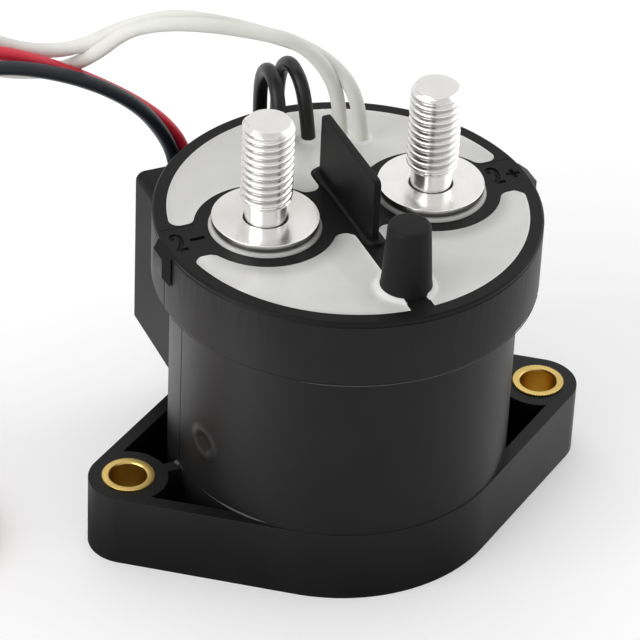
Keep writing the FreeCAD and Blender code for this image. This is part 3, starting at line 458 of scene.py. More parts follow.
lines = [
    groove("parting", (-CUP_RADIUS - 1, -0.11, FLANGE_HEIGHT),
           (-CUP_RADIUS + 0.2, 0.11, SKIRT_BASE + 1)),
    groove("parting_skirt", (-SKIRT_RADIUS - 1, -0.1, SKIRT_BASE - 1),
           (-SKIRT_RADIUS + 0.18, 0.1, 53.8)),
    lathe("seam", [(29.5, 53.95), (31, 53.95), (31, 54.3), (29.5, 54.3)], steps=180),
]
cup = moulded_from("housing", "cup_body", MOULD_EDGE, lines)
clad(cup, cup_nylon)
flash = [
    drawn_line("flash_foot", round_cup(
        CUP_RADIUS, FLANGE_HEIGHT + 0.1,
        (181, 0.6), (190, 0.5), (198, 0.5), (205, 0.7),
        (209, 1.6), (216, 1.7), (221, 0.9), (223, 0.3),
    ), 0.13),
    drawn_line("flash_rib", [
        (-27.25, 0.7, 12.5, 1), (-27.2, 0.2, 12.75, 1.3), (-27.05, -0.4, 12.7, 0.8),
    ], 0.32),
    # The two lines along the skirt's lower edge are painted highlights: thin bars of the paler
    # nylon where the edge catches light
    drawn_line("flash_skirt_left", round_cup(
        SKIRT_RADIUS - 0.06, SKIRT_BASE + 0.06,
        (185, 1), (190, 1), (195, 1), (199, 0.8), (202, 0.4),
    ), 0.07),
    drawn_line("flash_skirt_right", round_cup(
        SKIRT_RADIUS - 0.06, SKIRT_BASE + 0.06,
        (234, 0.4), (238, 0.8), *((angle, 1) for angle in range(242, 330, 5)),
    ), 0.07),
]
for line in flash:
    clad(line, flash_and_highlight_nylon)
cup = joined("moulded_cup", cup, *flash)
settle(cup)
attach(cup, "case")
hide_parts("housing")


# Mounting bushes: turned brass, pressed into the ears, with a knurled collar that grips the
# plastic and a small chamfer at the mouth of the bore.
BUSH_OFFSET = 35.5
BUSH_RADIUS = 4.15
BUSH_BORE = 2.95
BUSH_TOP = 12.8
KNURL_TEETH = 56


def softened(outline):
    """An outline whose corners (radius, height, round) are rounded with small arcs."""
    points = []
    count = len(outline)
    for index, (radius, height, rounding) in enumerate(outline):
        corner = Vector((radius, height))
        if not rounding:
            points.append((radius, height))
            continue
        before = (Vector(outline[index - 1][:2]) - corner).normalized()
        after = (Vector(outline[(index + 1) % count][:2]) - corner).normalized()
        for step in range(5):
            share = step / 4
            bend = before * (1 - share) ** 2 + after * share ** 2
            points.append(tuple(corner + bend * rounding))
    return points


def turned_metal(name, shade, roughness, lines=0.12, centre=(0.0, 0.0), pitch=0.16, stain=0.93):
    """Metal off the lathe: the tool's fine rings round an upright axis, faint stains between."""
    material, tree, shader = new_material(name)
    place = object_place(tree)
    middle = vector_calc(tree, "SUBTRACT", place, (centre[0] * MM, centre[1] * MM, 0))[0]
    flat = vector_calc(tree, "MULTIPLY", middle, (1, 1, 0))[0]
    reach = add_node(tree, "ShaderNodeVectorMath", {0: flat}, name="Reach", operation="LENGTH")
    height = add_node(tree, "ShaderNodeSeparateXYZ", {0: place}).outputs["Z"]
    across = calc(tree, "ADD", reach.outputs["Value"], height)
    ring = add_node(tree, "ShaderNodeTexNoise", {
        "W": across, "Scale": 1 / (pitch * MM), "Detail": 3.0,
    }, noise_dimensions="1D").outputs["Fac"]
    cloud = cloudy(tree, place, 260.0, 3.0)
    feed(tree, shader, {
        "Metallic": 1.0,
        "Base Color": two_tone(tree, cloud, 0.35, 0.6, tinted(shade, stain), shade),
        "Roughness": ranged(tree, ring, (0.0, 1.0), (roughness - 0.05, roughness + 0.05)),
        "Normal": bumped(tree, ring, lines, 0.012),
    })
    return material


def empty_tree(name, numbers, counts=()):
    """An empty Geometry Nodes tree that takes numbers, counts and a metal, and its inputs."""
    tree = bpy.data.node_groups.new(name, "GeometryNodeTree")
    kinds = {"Float": numbers, "Int": counts, "Material": ("Metal",)}
    for kind, labels in kinds.items():
        for label in labels:
            tree.interface.new_socket(label, in_out="INPUT", socket_type="NodeSocket" + kind)
    tree.interface.new_socket("Geometry", in_out="OUTPUT", socket_type="NodeSocketGeometry")
    return tree, add_node(tree, "NodeGroupInput").outputs


def give_out(tree, geometry, metal):
    """Makes a tree give out its geometry, in metal."""
    solid = add_node(tree, "GeometryNodeRealizeInstances", {0: geometry})
    dressed = add_node(tree, "GeometryNodeSetMaterial", {
        "Geometry": solid.outputs[0], "Material": metal,
    })
    add_node(tree, "NodeGroupOutput", {"Geometry": dressed.outputs[0]})


def knurl_tree():
    """Teeth set round a circle, turned to face outwards."""
    tree, given = empty_tree("Knurl", ("Centre X", "Level", "Radius", "Tooth"), ("Teeth",))
    ring = add_node(tree, "GeometryNodeMeshCircle", {
        "Vertices": given["Teeth"], "Radius": given["Radius"],
    })
    spot = add_node(tree, "GeometryNodeInputPosition")
    facing = add_node(tree, "FunctionNodeAlignEulerToVector", {"Vector": spot.outputs[0]}, axis="X")
    size = add_node(tree, "ShaderNodeCombineXYZ", {axis: given["Tooth"] for axis in "XYZ"})
    tooth = add_node(tree, "GeometryNodeMeshCube", {"Size": size.outputs[0]})
    edge_on = add_node(tree, "GeometryNodeTransform", {
        "Geometry": tooth.outputs["Mesh"], "Rotation": (0, 0, math.radians(45)),
    })
    row = add_node(tree, "GeometryNodeInstanceOnPoints", {
        "Points": ring.outputs["Mesh"],
        "Instance": edge_on.outputs[0],
        "Rotation": facing.outputs[0],
    })
    shift = add_node(tree, "ShaderNodeCombineXYZ", {"X": given["Centre X"], "Z": given["Level"]})
    moved = add_node(tree, "GeometryNodeTransform", {
        "Geometry": row.outputs[0], "Translation": shift.outputs[0],
    })
    give_out(tree, moved.outputs[0], given["Metal"])
    return tree


def grown(name, tree, **inputs):
    """A piece that a node tree makes, baked to a plain mesh; inputs are given by their names."""
    piece = link_piece(name, bpy.data.meshes.new(name))
    maker = piece.modifiers.new("Maker", "NODES")
    maker.node_group = tree
    sockets = {item.name.replace(" ", "_"): item.identifier for item in tree.interface.items_tree
               if item.in_out == "INPUT"}
    for key, value in inputs.items():
        maker[sockets[key]] = value
    bake(piece)
    return piece


knurl = knurl_tree()
for side, sign in (("left", -1), ("right", 1)):
    centre = (sign * BUSH_OFFSET, 0.0)
    brass = turned_metal("Brass_" + side, (0.76, 0.55, 0.18), 0.30, 0.28, centre, 0.12, 0.86)
    barrel = lathe("barrel_" + side, softened([
        (BUSH_BORE, 0.0, 0.2), (BUSH_RADIUS - 0.1, 0.0, 0.2), (BUSH_RADIUS - 0.1, BUSH_TOP, 0.05),
        (BUSH_BORE + 0.16, BUSH_TOP, 0.04), (BUSH_BORE, BUSH_TOP - 0.2, 0.05),
    ]), centre, 96)
    clad(barrel, brass)
    teeth = grown("teeth_" + side, knurl, Centre_X=centre[0] * MM, Level=(BUSH_TOP - 0.15) * MM,
                  Radius=(BUSH_RADIUS - 0.12) * MM, Tooth=0.25 * MM, Teeth=KNURL_TEETH, Metal=brass)
    bush = joined("brass_bush_" + side, barrel, teeth)
    settle(bush)
    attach(bush, "case")
    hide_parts("bush_" + side)


# Magnet frame and coil, sealed in the cup: a pressed soft-iron cup with its plate, a bobbin of
# glass-filled plastic, and a winding of enamelled copper whose ends go up to two tinned pins.
def dress(material, *nodes):
    """Gives a material to CAD pieces that keep their own shape."""
    for node in nodes:
        clad(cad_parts[node], material)


dress(turned_metal("SoftIron", (0.42, 0.41, 0.40), 0.42), "yoke_cup", "yoke_plate")
dress(moulded_plastic("BobbinPlastic", (0.32, 0.30, 0.26), 0.45), "coil_bobbin")
dress(turned_metal("EnamelledCopper", (0.60, 0.24, 0.10), 0.30, 0.5, pitch=0.3), "coil_winding")
dress(turned_metal("TinnedPins", (0.72, 0.71, 0.68), 0.35), "coil_pins")


dress(turned_metal("TurnedIron", (0.48, 0.47, 0.46), 0.34), "fixed_core", "plunger")
drawn_steel = turned_metal("DrawnSteel", (0.56, 0.55, 0.53), 0.30)
dress(drawn_steel, "guide_sleeve", "shaft", "spring_seat", "bridge_clip")
spring_steel = turned_metal("SpringSteel", (0.36, 0.35, 0.34), 0.32, 0.05)


def sprung(name, node, body):
    """A spring in its CAD node's form, given its own mesh and hung on a body."""
    coil = link_piece(name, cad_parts[node].data.copy())
    clad(coil, spring_steel)
    smooth(coil.data, 50)
    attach(coil, body)
    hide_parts(node)
    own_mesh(coil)


sprung("return_coil", "return_spring", "case")
sprung("contact_coil", "contact_spring", "plunger_group")


# Moving contact: a stamped copper bridge that the plunger lifts against the two terminals,
# with a silver tip riveted on at each end.
dress(turned_metal("BridgeCopper", (0.72, 0.36, 0.22), 0.34), "contact_bridge")
dress(turned_metal("SilverTips", (0.86, 0.85, 0.82), 0.28), "bridge_tips")


# Sealed chamber: white alumina on a thin metal ring, with two ferrite magnets in plastic
# holders, the auxiliary switch on its roof and the copper tube it was evacuated through.
dress(moulded_plastic("Alumina", (0.74, 0.73, 0.70), 0.5), "ceramic_chamber")
dress(turned_metal("SealRing", (0.60, 0.59, 0.57), 0.28), "seal_ring")
dress(moulded_plastic("Ferrite", (0.05, 0.05, 0.052), 0.55), "magnet_front", "magnet_back")
holder_plastic = moulded_plastic("HolderPlastic", (0.20, 0.19, 0.17), 0.5)
dress(holder_plastic, "magnet_holder_front", "magnet_holder_back")
dress(moulded_plastic("SwitchPlastic", (0.10, 0.10, 0.11), 0.42), "aux_switch")
dress(turned_metal("TubeCopper", (0.70, 0.38, 0.24), 0.32), "evacuation_tube")


# Terminals: copper turned with a broad disc on a thick shank and a socket for the stud, under
# bright tin plate that still shows the tool's rings.
STUD_OFFSET = 13.75
DISC_RADIUS = 8.25
DISC_TOP = 56.75
DISC_BASE = 55.4
SHANK_RADIUS = 6.0
SHANK_FOOT = 41.5
SOCKET_RADIUS = 3.4
SOCKET_FOOT = 47.75
SOCKET_EDGE = 0.22

for side, sign in (("left", -1), ("right", 1)):
    centre = (sign * STUD_OFFSET, 0.0)
    plate = turned_metal("BrightPlate_" + side, (0.94, 0.93, 0.912), 0.24, 1.0, centre, 0.32, 0.96)
    terminal = lathe("disc_" + side, softened([
        (0, SHANK_FOOT, 0), (SHANK_RADIUS, SHANK_FOOT, 0.2), (SHANK_RADIUS, DISC_BASE, 0.1),
        (DISC_RADIUS, DISC_BASE, 0.15), (DISC_RADIUS, DISC_TOP, 0.08),
        (SOCKET_RADIUS + SOCKET_EDGE, DISC_TOP, 0.04),
        (SOCKET_RADIUS, DISC_TOP - SOCKET_EDGE, 0.04),
        (SOCKET_RADIUS, SOCKET_FOOT, 0.05), (0, SOCKET_FOOT, 0),
    ]), centre, 160, closed=False)
    clad(terminal, plate)
    settle(terminal)
    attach(terminal, "case")
    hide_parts("terminal_" + side)


# Studs: steel, rolled with an 8 mm thread of 1.25 mm pitch over a plain neck, and bright plated.
# The thread is a wave of the radius round and up the stud, cut off by a cone at either end.
STUD_TOP = 74.05
STUD_SUNK = {"left": 0.3, "right": 0.05}
STUD_SIZES = {
    "Radius": 4.0, "Pitch": 1.25, "Depth": 0.63, "Foot": 55.25,
    "End_Radius": 3.35, "End_Length": 0.65,
    "Neck_Radius": 3.2, "Neck_Top": 59.5, "Runout": 0.75,
}
STUD_STEPS = (112, 480)
ROOT_REACH = (3.40, 3.72)
ROOT_FADE = 0.5


def stud_tree():
    """A threaded stud: a fine cylinder whose radius follows the thread."""
    labels = [key.replace("_", " ") for key in STUD_SIZES]
    tree, given = empty_tree("ThreadedStud", ("Centre X", "Top", *labels))
    length = calc(tree, "SUBTRACT", given["Top"], given["Foot"])
    bar = add_node(tree, "GeometryNodeMeshCylinder", {
        "Vertices": STUD_STEPS[0],
        "Side Segments": STUD_STEPS[1],
        "Radius": given["Radius"],
        "Depth": length,
    }, fill_type="TRIANGLE_FAN")
    place = add_node(tree, "GeometryNodeInputPosition").outputs[0]
    spot = add_node(tree, "ShaderNodeSeparateXYZ", {0: place}).outputs
    middle = calc(tree, "ADD", given["Foot"], calc(tree, "MULTIPLY", length, 0.5))
    height = calc(tree, "ADD", spot["Z"], middle)
    turn = calc(tree, "DIVIDE", calc(tree, "ARCTAN2", spot["Y"], spot["X"]), 2 * math.pi)
    turns_up = calc(tree, "DIVIDE", height, given["Pitch"])
    phase = calc(tree, "FRACT", calc(tree, "SUBTRACT", turns_up, turn))
    wave = calc(tree, "ABSOLUTE", calc(tree, "SUBTRACT", calc(tree, "MULTIPLY", phase, 2.0), 1.0))
    root = calc(tree, "SUBTRACT", given["Radius"], given["Depth"])
    thread = ranged(tree, wave, (0.08, 0.9), (root, given["Radius"]),
                    interpolation_type="SMOOTHSTEP")
    cone_foot = calc(tree, "SUBTRACT", given["Top"], given["End Length"])
    cone = ranged(tree, height, (cone_foot, given["Top"]), (given["Radius"], given["End Radius"]))
    runout = calc(tree, "ADD", given["Neck Top"], given["Runout"])
    neck = ranged(tree, height, (given["Neck Top"], runout),
                  (given["Neck Radius"], given["Radius"]))
    radius = calc(tree, "MINIMUM", thread, calc(tree, "MINIMUM", cone, neck))
    share = calc(tree, "DIVIDE", radius, given["Radius"])
    moved = add_node(tree, "ShaderNodeCombineXYZ", {
        "X": calc(tree, "ADD", calc(tree, "MULTIPLY", spot["X"], share), given["Centre X"]),
        "Y": calc(tree, "MULTIPLY", spot["Y"], share),
        "Z": height,
    })
    shaped = add_node(tree, "GeometryNodeSetPosition", {
        "Geometry": bar.outputs["Mesh"], "Position": moved.outputs[0],
    })
    give_out(tree, shaped.outputs[0], given["Metal"])
    return tree


def shadow_roots(material, low, high):
    """Paints shade into a thread's roots between two heights, where light hardly reaches."""
    tree = material.node_tree
    shader = tree.nodes["Principled BSDF"]
    plain = shader.inputs["Base Color"].links[0].from_socket
    height = add_node(tree, "ShaderNodeSeparateXYZ", {0: object_place(tree)}).outputs["Z"]
    reach = tree.nodes["Reach"].outputs["Value"]
    root = ranged(tree, reach, (ROOT_REACH[0] * MM, ROOT_REACH[1] * MM), (0.75, 0.0))
    above = ranged(tree, height, (low * MM, (low + ROOT_FADE) * MM), (0.0, 1.0))
    below = ranged(tree, height, ((high - ROOT_FADE) * MM, high * MM), (1.0, 0.0))
    share = calc(tree, "MULTIPLY", root, calc(tree, "MULTIPLY", above, below))
    feed(tree, shader, {"Base Color": blend(tree, share, plain, (0.26, 0.255, 0.25, 1))})


threaded = stud_tree()
for side, sign in (("left", -1), ("right", 1)):
    centre = (sign * STUD_OFFSET, 0.0)
    steel = turned_metal("StudPlate_" + side, (0.87, 0.857, 0.842), 0.22, 0.08, centre, 0.3, 0.97)
    shadow_roots(steel, STUD_SIZES["Neck_Top"] + 0.7, STUD_TOP - 1.2)
    sizes = {key: value * MM for key, value in STUD_SIZES.items()}
    sizes["Top"] = (STUD_TOP - STUD_SUNK[side]) * MM
    stud = grown("threaded_stud_" + side, threaded, Centre_X=centre[0] * MM, Metal=steel, **sizes)
    settle(stud, 40)
    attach(stud, "case")
    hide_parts("stud_" + side)


# Top cover: one moulding of rim, arms, collars, bridge and bar, pressed into the skirt. Its arms
# carry a number and a polarity sign, sunk into the face, and a fine step beside them.
COVER_TOP = 54.95
COVER_EDGE = 0.09
STROKE_RADIUS = 0.38
STROKE_LEVEL = COVER_TOP - 0.06
HOOK = [
    (-0.62, 0.9), (-0.72, 1.7), (-0.1, 2.3), (0.55, 1.9),
    (0.7, 0.9), (0.3, -0.4), (-0.3, -1.3), (-0.7, -1.8),
]
FOOT = [(-0.75, -1.85), (0.95, -1.75)]

cutters = []
for side, middle in (("left", (-27.8, 0.0)), ("right", (24.9, 0.2))):
    for part, points in (("hook", HOOK), ("foot", FOOT)):
        path = [(middle[0] + x, middle[1] + y, STROKE_LEVEL, 1) for x, y in points]
        cutters.append(drawn_line(f"{part}_{side}", path, STROKE_RADIUS))
for name, depth, (low_x, low_y), (high_x, high_y) in (
    ("minus", 0.45, (-25.9, -0.16), (-23.5, 0.56)),
    ("plus_across", 0.45, (26.65, -0.36), (28.95, 0.36)),
    ("plus_along", 0.42, (27.44, -1.15), (28.16, 1.15)),
):
    cutters.append(groove(name, (low_x, low_y, COVER_TOP - depth), (high_x, high_y, COVER_TOP + 1)))
for side, low_x, high_x in (("left", -29.3, -23.9), ("right", 23.9, 29.3)):
    low = (low_x, 3.84, COVER_TOP - 0.12)
    cutters.append(groove("step_" + side, low, (high_x, 3.98, COVER_TOP + 1)))
cover = moulded_from("top_cover", "moulded_cover", COVER_EDGE, cutters)
cover_nylon = moulded_plastic("CoverNylon", NYLON, 0.42, 0.11)
clad(cover, cover_nylon)
settle(cover)
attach(cover, "case")
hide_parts("top_cover")


# Barrier: a thin wall moulded from the cover's black nylon, with a pointed top. It stands on the
# bridge and keeps the cable lugs on the two studs apart.
BARRIER_EDGE = 0.16

barrier = moulded_from("barrier", "moulded_barrier", BARRIER_EDGE)
clad(barrier, cover_nylon)
settle(barrier)
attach(barrier, "case")
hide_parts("barrier")


# Potting: light grey epoxy poured between the cover's arms, cured glossy. It creeps up every edge
# and every lead that it meets, and stands in a bead round each terminal's disc.
POUR_LEVEL = 54.7
POUR_DEPTH = 3.0
POUR_CELL = 0.3
POUR_SUNK = 1.2
# The height, the closeness and the start of each of the pour's faint waves
POUR_WAVES = ((0.09, 0.16, 1.3), (0.012, 0.6, 5.1))
SKIRT_BORE = 27.8
POUR_REACH = SKIRT_BORE + 0.6
COVER_REACH = 28.9
ARM_HALF = 4.3
BRIDGE_HALF = 6.0
COLLAR_RADIUS = 10.9
BAR_HALF = 1.9
BAR_END = 9.9
CAP_OFFSET = -21.6
CAP_FOOT = 3.9
CAP_CLIMB = 0.42
LEAD_RADIUS = 1.15
LEAD_CLIMB = 0.5
POTTED_LEADS = ((7.2, 19.5), (9.7, 17.0), (-3.0, 19.4), (1.9, 20.0))
# Middle and reach of the painted shade in front of each collar
COLLAR_SHADE_MIDDLE = (STUD_OFFSET * MM, -1.3 * MM, 0)
COLLAR_SHADE_REACH = (9.6, 12.8)


def to_block(x, y, low, high):
    """Distance in plan from a point to an upright block, below zero inside it."""
    across = max(low[0] - x, x - high[0])
    along = max(low[1] - y, y - high[1])
    if across > 0 and along > 0:
        return math.hypot(across, along)
    return max(across, along)


def to_cover(x, y):
    """Distance in plan from a point of a window to the cover's nearest edge, corners rounded."""
    return min(
        SKIRT_BORE - math.hypot(x, y),
        to_block(x, y, (-COVER_REACH, -ARM_HALF), (COVER_REACH, ARM_HALF)),
        to_block(x, y, (-STUD_OFFSET, -BRIDGE_HALF), (STUD_OFFSET, BRIDGE_HALF)),
        to_block(x, y, (-BAR_HALF, -COVER_REACH), (BAR_HALF, BAR_END)),
        math.hypot(x, y - BAR_END) - BAR_HALF,
        math.hypot(x - STUD_OFFSET, y) - COLLAR_RADIUS,
        math.hypot(x + STUD_OFFSET, y) - COLLAR_RADIUS,
        math.hypot(x, y - CAP_OFFSET) - CAP_FOOT,
    )


def pour_height(x, y):
    """Height of the cured epoxy: level, with faint waves, raised along edges and round leads."""
    gap = to_cover(x, y)
    if gap < -0.5:
        return POUR_LEVEL - POUR_SUNK
    gap = max(0.0, gap)
    height = POUR_LEVEL + 0.02 + 0.2 * math.exp(-gap / 0.5)
    if abs(x) > BAR_HALF:
        beside_cap = max(0.0, math.hypot(x, y - CAP_OFFSET) - CAP_FOOT)
        height += CAP_CLIMB * math.exp(-(beside_cap / 0.8) ** 2)
    for rise, scale, start in POUR_WAVES:
        height += min(1.0, gap / 2.0) * rise * noise.noise(Vector((x * scale, y * scale, start)))
    for lead_x, lead_y in POTTED_LEADS:
        clear = max(0.0, math.hypot(x - lead_x, y - lead_y) - LEAD_RADIUS)
        height += LEAD_CLIMB * math.exp(-(clear / 0.55) ** 1.4)
    return height


form = bmesh.new()
count = int(2 * POUR_REACH / POUR_CELL) + 1
net = {}
for column in range(count):
    for row in range(count):
        x = (column - (count - 1) / 2) * POUR_CELL
        y = (row - (count - 1) / 2) * POUR_CELL
        if math.hypot(x, y) < POUR_REACH:
            net[column, row] = form.verts.new((x * MM, y * MM, pour_height(x, y) * MM))
for (column, row), corner in net.items():
    others = ((column + 1, row), (column + 1, row + 1), (column, row + 1))
    square = [corner] + [net.get(step) for step in others]
    if all(square):
        form.faces.new(square)
loose = [vert for vert in form.verts if not vert.link_faces]
bmesh.ops.delete(form, geom=loose, context="VERTS")
pour = link_piece("pour", mesh_from("pour", form))
depth = pour.modifiers.new("Depth", "SOLIDIFY")
depth.thickness = POUR_DEPTH * MM
depth.offset = -1
bake(pour)
beads = [lathe("bead_" + side, softened([
    (7.6, 54.3, 0.05), (8.68, 54.3, 0.05), (8.72, 55.12, 0.25),
    (8.32, 55.5, 0.14), (8.0, 55.2, 0.1),
]), (sign * STUD_OFFSET, 0.0)) for side, sign in (("left", -1), ("right", 1))]

epoxy, tree, shader = new_material("PottingEpoxy")
place = object_place(tree)
parts = add_node(tree, "ShaderNodeSeparateXYZ", {0: place}).outputs
cloud = cloudy(tree, place, 70.0, 3.0, 0.6)
tone = two_tone(tree, cloud, 0.3, 0.7, (0.635, 0.632, 0.618), (0.695, 0.692, 0.678))
dots = specks(tree, place, 160.0, (0.025, 0.05), 0.6, 0.9)
resin = blend(tree, dots, tone, (0.30, 0.29, 0.27, 1))
# Where the resin climbs an edge it is painted paler, a painted highlight along the meniscus
meniscus_highlight = ranged(tree, parts["Z"], ((POUR_LEVEL + 0.12) * MM, (POUR_LEVEL + 0.20) * MM), (0.0, 0.5))
resin_with_meniscus_highlight = blend(tree, meniscus_highlight, resin, (0.86, 0.858, 0.845, 1))
# Round the front of the collars the resin is painted darker, a painted shade as if the collars cast
# it
outward = calc(tree, "ABSOLUTE", parts["X"])
folded = add_node(tree, "ShaderNodeCombineXYZ", {"X": outward, "Y": parts["Y"]})
from_stud = vector_calc(tree, "DISTANCE", folded.outputs[0], COLLAR_SHADE_MIDDLE)["Value"]
painted_collar_shade = ranged(tree, from_stud, (COLLAR_SHADE_REACH[0] * MM, COLLAR_SHADE_REACH[1] * MM), (0.75, 0.0),
              interpolation_type="SMOOTHSTEP")
# The face keeps faint swirls from the pour over its slow unevenness
swirl = add_node(tree, "ShaderNodeTexWave", {
    "Vector": place, "Scale": 130.0, "Distortion": 9.0, "Detail": 2.0, "Detail Scale": 0.6,
})
feed(tree, shader, {
    "Specular IOR Level": 0.5,
    "Base Color": blend(tree, painted_collar_shade, resin_with_meniscus_highlight, (0.36, 0.36, 0.35, 1)),
    "Roughness": ranged(tree, cloud, (0.0, 1.0), (0.07, 0.2)),
    "Normal": bumped(tree, swirl.outputs["Fac"], 0.35, 0.012, bumped(tree, cloud, 0.3, 0.05)),
})
potting = joined("epoxy_pour", pour, *beads)
clad(potting, epoxy)
smooth(potting.data)
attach(potting, "case")
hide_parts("potting")


# Cap over the evacuation tube: a tapered thimble moulded from soft black plastic, pushed over the
# pinched end of the tube to protect it.
CAP_TOP = 66.0
CAP_TOP_RADIUS = 3.25
CAP_BORE = 2.4
CAP_ROOF = 1.2

cap = lathe("thimble_cap", softened([
    (CAP_BORE, COVER_TOP, 0.1), (CAP_FOOT + 0.15, COVER_TOP, 0.1),
    (CAP_FOOT - 0.05, COVER_TOP + 1.05, 0.5),
    (CAP_TOP_RADIUS, CAP_TOP, 0.7), (0, CAP_TOP, 0), (0, CAP_TOP - CAP_ROOF, 0),
    (CAP_BORE, CAP_TOP - CAP_ROOF, 0.2),
]), (0.0, CAP_OFFSET), 96)
clad(cap, moulded_plastic("CapNylon", (0.0100, 0.0100, 0.0104), 0.5, 0.12))
settle(cap)
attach(cap, "case")
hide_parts("tube_cap")


# Control box: a black moulded shell clipped to the back of the cup, over the green driver board
# that feeds the coil and its few components.
BOX_EDGE = 0.3

box = moulded_from("control_box", "moulded_box", BOX_EDGE)
clad(box, moulded_plastic("BoxPlastic", (0.0080, 0.0080, 0.0085), 0.5, 0.12))
settle(box)
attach(box, "case")
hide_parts("control_box")
dress(moulded_plastic("BoardGreen", (0.02, 0.10, 0.045), 0.35), "control_board")
dress(moulded_plastic("BoardParts", (0.03, 0.03, 0.03), 0.35), "board_parts")


# Leads: stranded wire in extruded insulation. The free ends lie wound in round coils on the
# surface beside the contactor; two short jumpers go from the potting into the control box.
BOX_TOP = 43.0
LEAD_LENGTH = 380.0
COIL_MIDDLE = (-84.0, 27.0)
COIL_STEP = 16.0
COIL_RADIUS = 10.56
TURN_POINTS = 14
LOW_LAYER = 1.17
LANE_GAP = 0.06

# Where a lead goes into the control box: across, behind the cup's wall, over the box's top
BOX_ENDS = {
    "red_lead": [(-12.2, 6.6, -0.6), (-13.5, 6.6, 4.8)],
    "black_lead": [(-14.8, 6.0, -0.6), (-15.6, 5.6, 4.4)],
    "jumper_left": [(-0.6, 6.8, -0.6), (-0.6, 6.8, 7.6)],
    "jumper_right": [(2.3, 6.8, -0.6), (2.3, 6.8, 7.6)],
}
# How a lead arches over the cup: across, behind the cup's wall, over the cup's top
LEAD_ARCHES = {
    "white_lead_a": [
        (7.2, -7.5, 0.0), (6.7, -7.6, 6.4), (4.5, -7.8, 12.9), (-0.2, -7.0, 18.8),
        (-7.8, -5.2, 21.3), (-15.0, -3.2, 22.8), (-21.0, -1.0, 22.9), (-25.4, 2.1, 20.8),
        (-28.6, 6.3, 14.8),
        (-32.6, 10.2, 10.5), (-38.2, 12.8, 9.4), (-44.8, 14.2, 11.0), (-51.0, 14.4, 14.1),
        (-58.2, 13.8, 16.4), (-66.0, 11.8, 14.4),
    ],
    "white_lead_b": [
        (9.7, -10.0, 0.0), (9.2, -9.9, 6.0), (7.4, -8.0, 11.6), (2.8, -5.0, 15.7),
        (-3.9, -3.0, 18.6), (-11.0, -0.8, 21.0), (-18.0, 2.0, 22.0), (-24.4, 6.0, 19.0),
        (-31.1, 8.6, 14.7),
        (-38.8, 10.2, 15.0), (-46.5, 11.8, 18.7), (-55.5, 11.8, 21.6), (-65.0, 9.8, 20.4),
    ],
    "red_lead": [
        (-16.8, 6.7, -0.8), (-22.0, 7.0, 4.2), (-29.0, 7.0, 9.4), (-36.8, 7.2, 14.2),
        (-45.0, 7.6, 18.0), (-54.0, 7.4, 19.2), (-62.8, 5.8, 15.8),
    ],
    "black_lead": [
        (-18.0, 4.8, -1.2), (-21.9, 4.6, 4.5), (-28.2, 4.4, 9.8), (-36.2, 4.5, 14.1),
        (-45.0, 4.4, 17.1), (-54.5, 3.6, 17.9), (-64.0, 1.8, 14.6),
    ],
    "jumper_left": [
        (-3.0, -7.6, 0.0), (-3.5, -7.7, 5.2), (-3.3, -6.0, 9.7), (-2.8, -2.0, 11.2),
        (-2.1, 2.3, 8.7), (-1.2, 5.6, 3.6),
    ],
    "jumper_right": [
        (1.9, -7.0, 0.0), (1.3, -7.1, 5.4), (1.0, -5.5, 10.0), (0.9, -1.6, 11.5), (1.3, 2.6, 9.0),
        (1.9, 5.8, 3.7),
    ],
}
# How a free lead comes down to its coil, from the coil's middle
LEAD_DROPS = {
    "white_lead_a": [
        (-4.8, -6.6, 62.4), (-10.2, -8.8, 52.8), (-13.4, -10.1, 41.2), (-14.7, -10.7, 29.4),
        (-14.9, -10.8, 18.5), (-14.9, -10.8, 9.95), (-11.65, -10.8, 4.32), (-6.02, -10.8, 1.17),
    ],
    "white_lead_b": [
        (26.4, -9.0, 68.4), (19.4, -11.6, 58.8), (14.4, -13.4, 47.6), (11.6, -14.5, 35.8),
        (10.9, -14.9, 24.0), (10.8, -14.9, 9.95), (10.8, -11.65, 4.32), (10.8, -6.02, 1.17),
    ],
    "red_lead": [
        (-2.2, 19.4, 62.6), (-7.2, 17.2, 52.6), (-9.8, 15.8, 41.2), (-10.7, 15.1, 29.4),
        (-10.8, 14.9, 18.6), (-10.8, 14.9, 9.95), (-10.8, 11.65, 4.32), (-10.8, 6.02, 1.17),
    ],
    "black_lead": [
        (27.5, 15.4, 61.8), (21.0, 13.0, 51.6), (17.0, 11.6, 40.2), (15.2, 11.0, 28.6),
        (14.9, 10.8, 18.2), (14.9, 10.8, 9.95), (11.65, 10.8, 4.32), (6.02, 10.8, 1.17),
    ],
}
# Each free lead's coil: its column, its row, and the side on which the lead arrives, in degrees
COIL_PLACES = {
    "black_lead": (-1, -1, 90.0),
    "red_lead": (1, -1, 180.0),
    "white_lead_a": (1, 1, 270.0),
    "white_lead_b": (-1, 1, 0.0),
}


def run_length(points):
    """The length of the straight runs between points."""
    return sum(math.dist(a, b) for a, b in zip(points, points[1:]))


def turn_lane(turn):
    """How far out and how high a lead lies after so many turns of its coil."""
    lane = 2 * LEAD_RADIUS + LANE_GAP
    upper = LOW_LAYER + lane * math.sqrt(3) / 2
    stops = [
        (0.0, 0.0, LOW_LAYER), (0.35, -lane / 2, LOW_LAYER), (1.0, -lane / 2, LOW_LAYER),
        (1.35, lane / 2, LOW_LAYER), (2.0, lane / 2, LOW_LAYER),
        (2.5, 0.0, upper), (4.0, 0.0, upper),
    ]
    for (turn_a, out_a, up_a), (turn_b, out_b, up_b) in zip(stops, stops[1:]):
        if turn <= turn_b:
            share = (turn - turn_a) / (turn_b - turn_a)
            share = share * share * (3 - 2 * share)
            return out_a + (out_b - out_a) * share, up_a + (up_b - up_a) * share
    return stops[-1][1:]


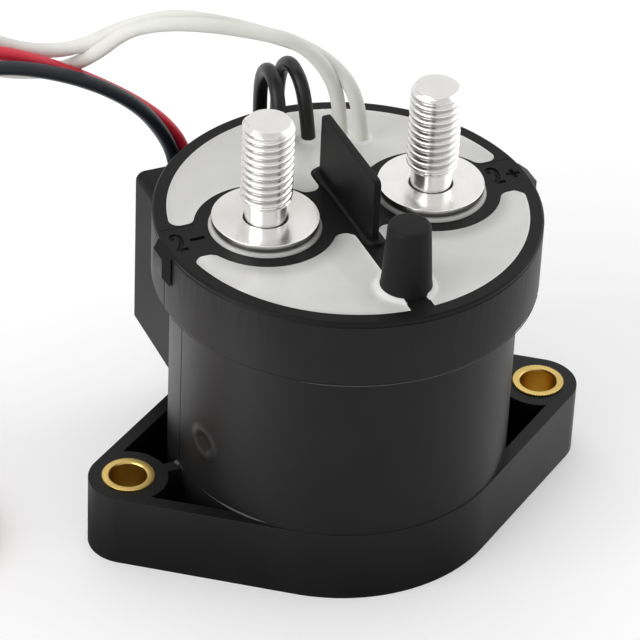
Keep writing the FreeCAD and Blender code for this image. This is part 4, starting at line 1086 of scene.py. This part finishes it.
def lead_points(name):
    """The control points of a lead in millimetres, the turns of its coil among them."""
    run = [(x, CUP_RADIUS + behind, CUP_HEIGHT + over) for x, behind, over in LEAD_ARCHES[name]]
    boxed = [(x, CUP_RADIUS + behind, BOX_TOP + over) for x, behind, over in BOX_ENDS.get(name, [])]
    if name not in COIL_PLACES:
        return run + boxed[::-1]
    column, row, arrival = COIL_PLACES[name]
    coil_x = COIL_MIDDLE[0] + column * COIL_STEP
    coil_y = COIL_MIDDLE[1] + row * COIL_STEP
    points = boxed + run + [(coil_x + x, coil_y + y, z) for x, y, z in LEAD_DROPS[name]]
    turns = (LEAD_LENGTH - run_length(points)) / (2 * math.pi * COIL_RADIUS)
    for step in range(1, int(turns * TURN_POINTS) + 1):
        out, level = turn_lane(step / TURN_POINTS)
        angle = math.radians(arrival) + 2 * math.pi * step / TURN_POINTS
        radius = (COIL_RADIUS + out) / math.cos(math.pi / TURN_POINTS)
        points.append((coil_x + radius * math.cos(angle), coil_y + radius * math.sin(angle), level))
    return points


def insulation(name, shade, roughness):
    """Extruded plastic insulation: faint scuffs, slow tone changes and a waxy gloss."""
    material, tree, shader = new_material(name)
    place = object_place(tree)
    cloud = cloudy(tree, place, 120.0, 3.0)
    scuff = cloudy(tree, place, 1400.0, 4.0)
    feed(tree, shader, {
        "Specular IOR Level": 0.35,
        "Base Color": two_tone(tree, cloud, 0.3, 0.7, tinted(shade, 0.92), tinted(shade, 1.04)),
        "Roughness": ranged(tree, scuff, (0.0, 1.0), (roughness - 0.08, roughness + 0.08)),
        "Normal": bumped(tree, scuff, 0.25, 0.02),
    })
    return material


SHEATHS = {
    "white": insulation("WhiteSheath", (0.76, 0.76, 0.715), 0.42),
    "red": insulation("RedSheath", (0.68, 0.022, 0.050), 0.38),
    "black": insulation("BlackSheath", (0.008, 0.010, 0.016), 0.36),
    "jumper": insulation("JumperSheath", (0.005, 0.005, 0.005), 0.40),
}

for name in LEAD_ARCHES:
    points = lead_points(name)
    line = bpy.data.curves.new(name + "_wire", "CURVE")
    line.dimensions = "3D"
    line.bevel_depth = LEAD_RADIUS * MM
    line.bevel_resolution = 6
    line.resolution_u = 8
    line.use_fill_caps = True
    path = line.splines.new("NURBS")
    path.points.add(len(points) - 1)
    for spot, point in zip(path.points, points):
        spot.co = (point[0] * MM, point[1] * MM, point[2] * MM, 1)
    path.order_u = 3
    path.use_endpoint_u = True
    colour = name.split("_")[0]
    line.materials.append(SHEATHS[colour])
    wire = link_piece(name + "_wire", line)
    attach(wire, "case")
    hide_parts(name, *([name + "_coil"] if name in COIL_PLACES else []))
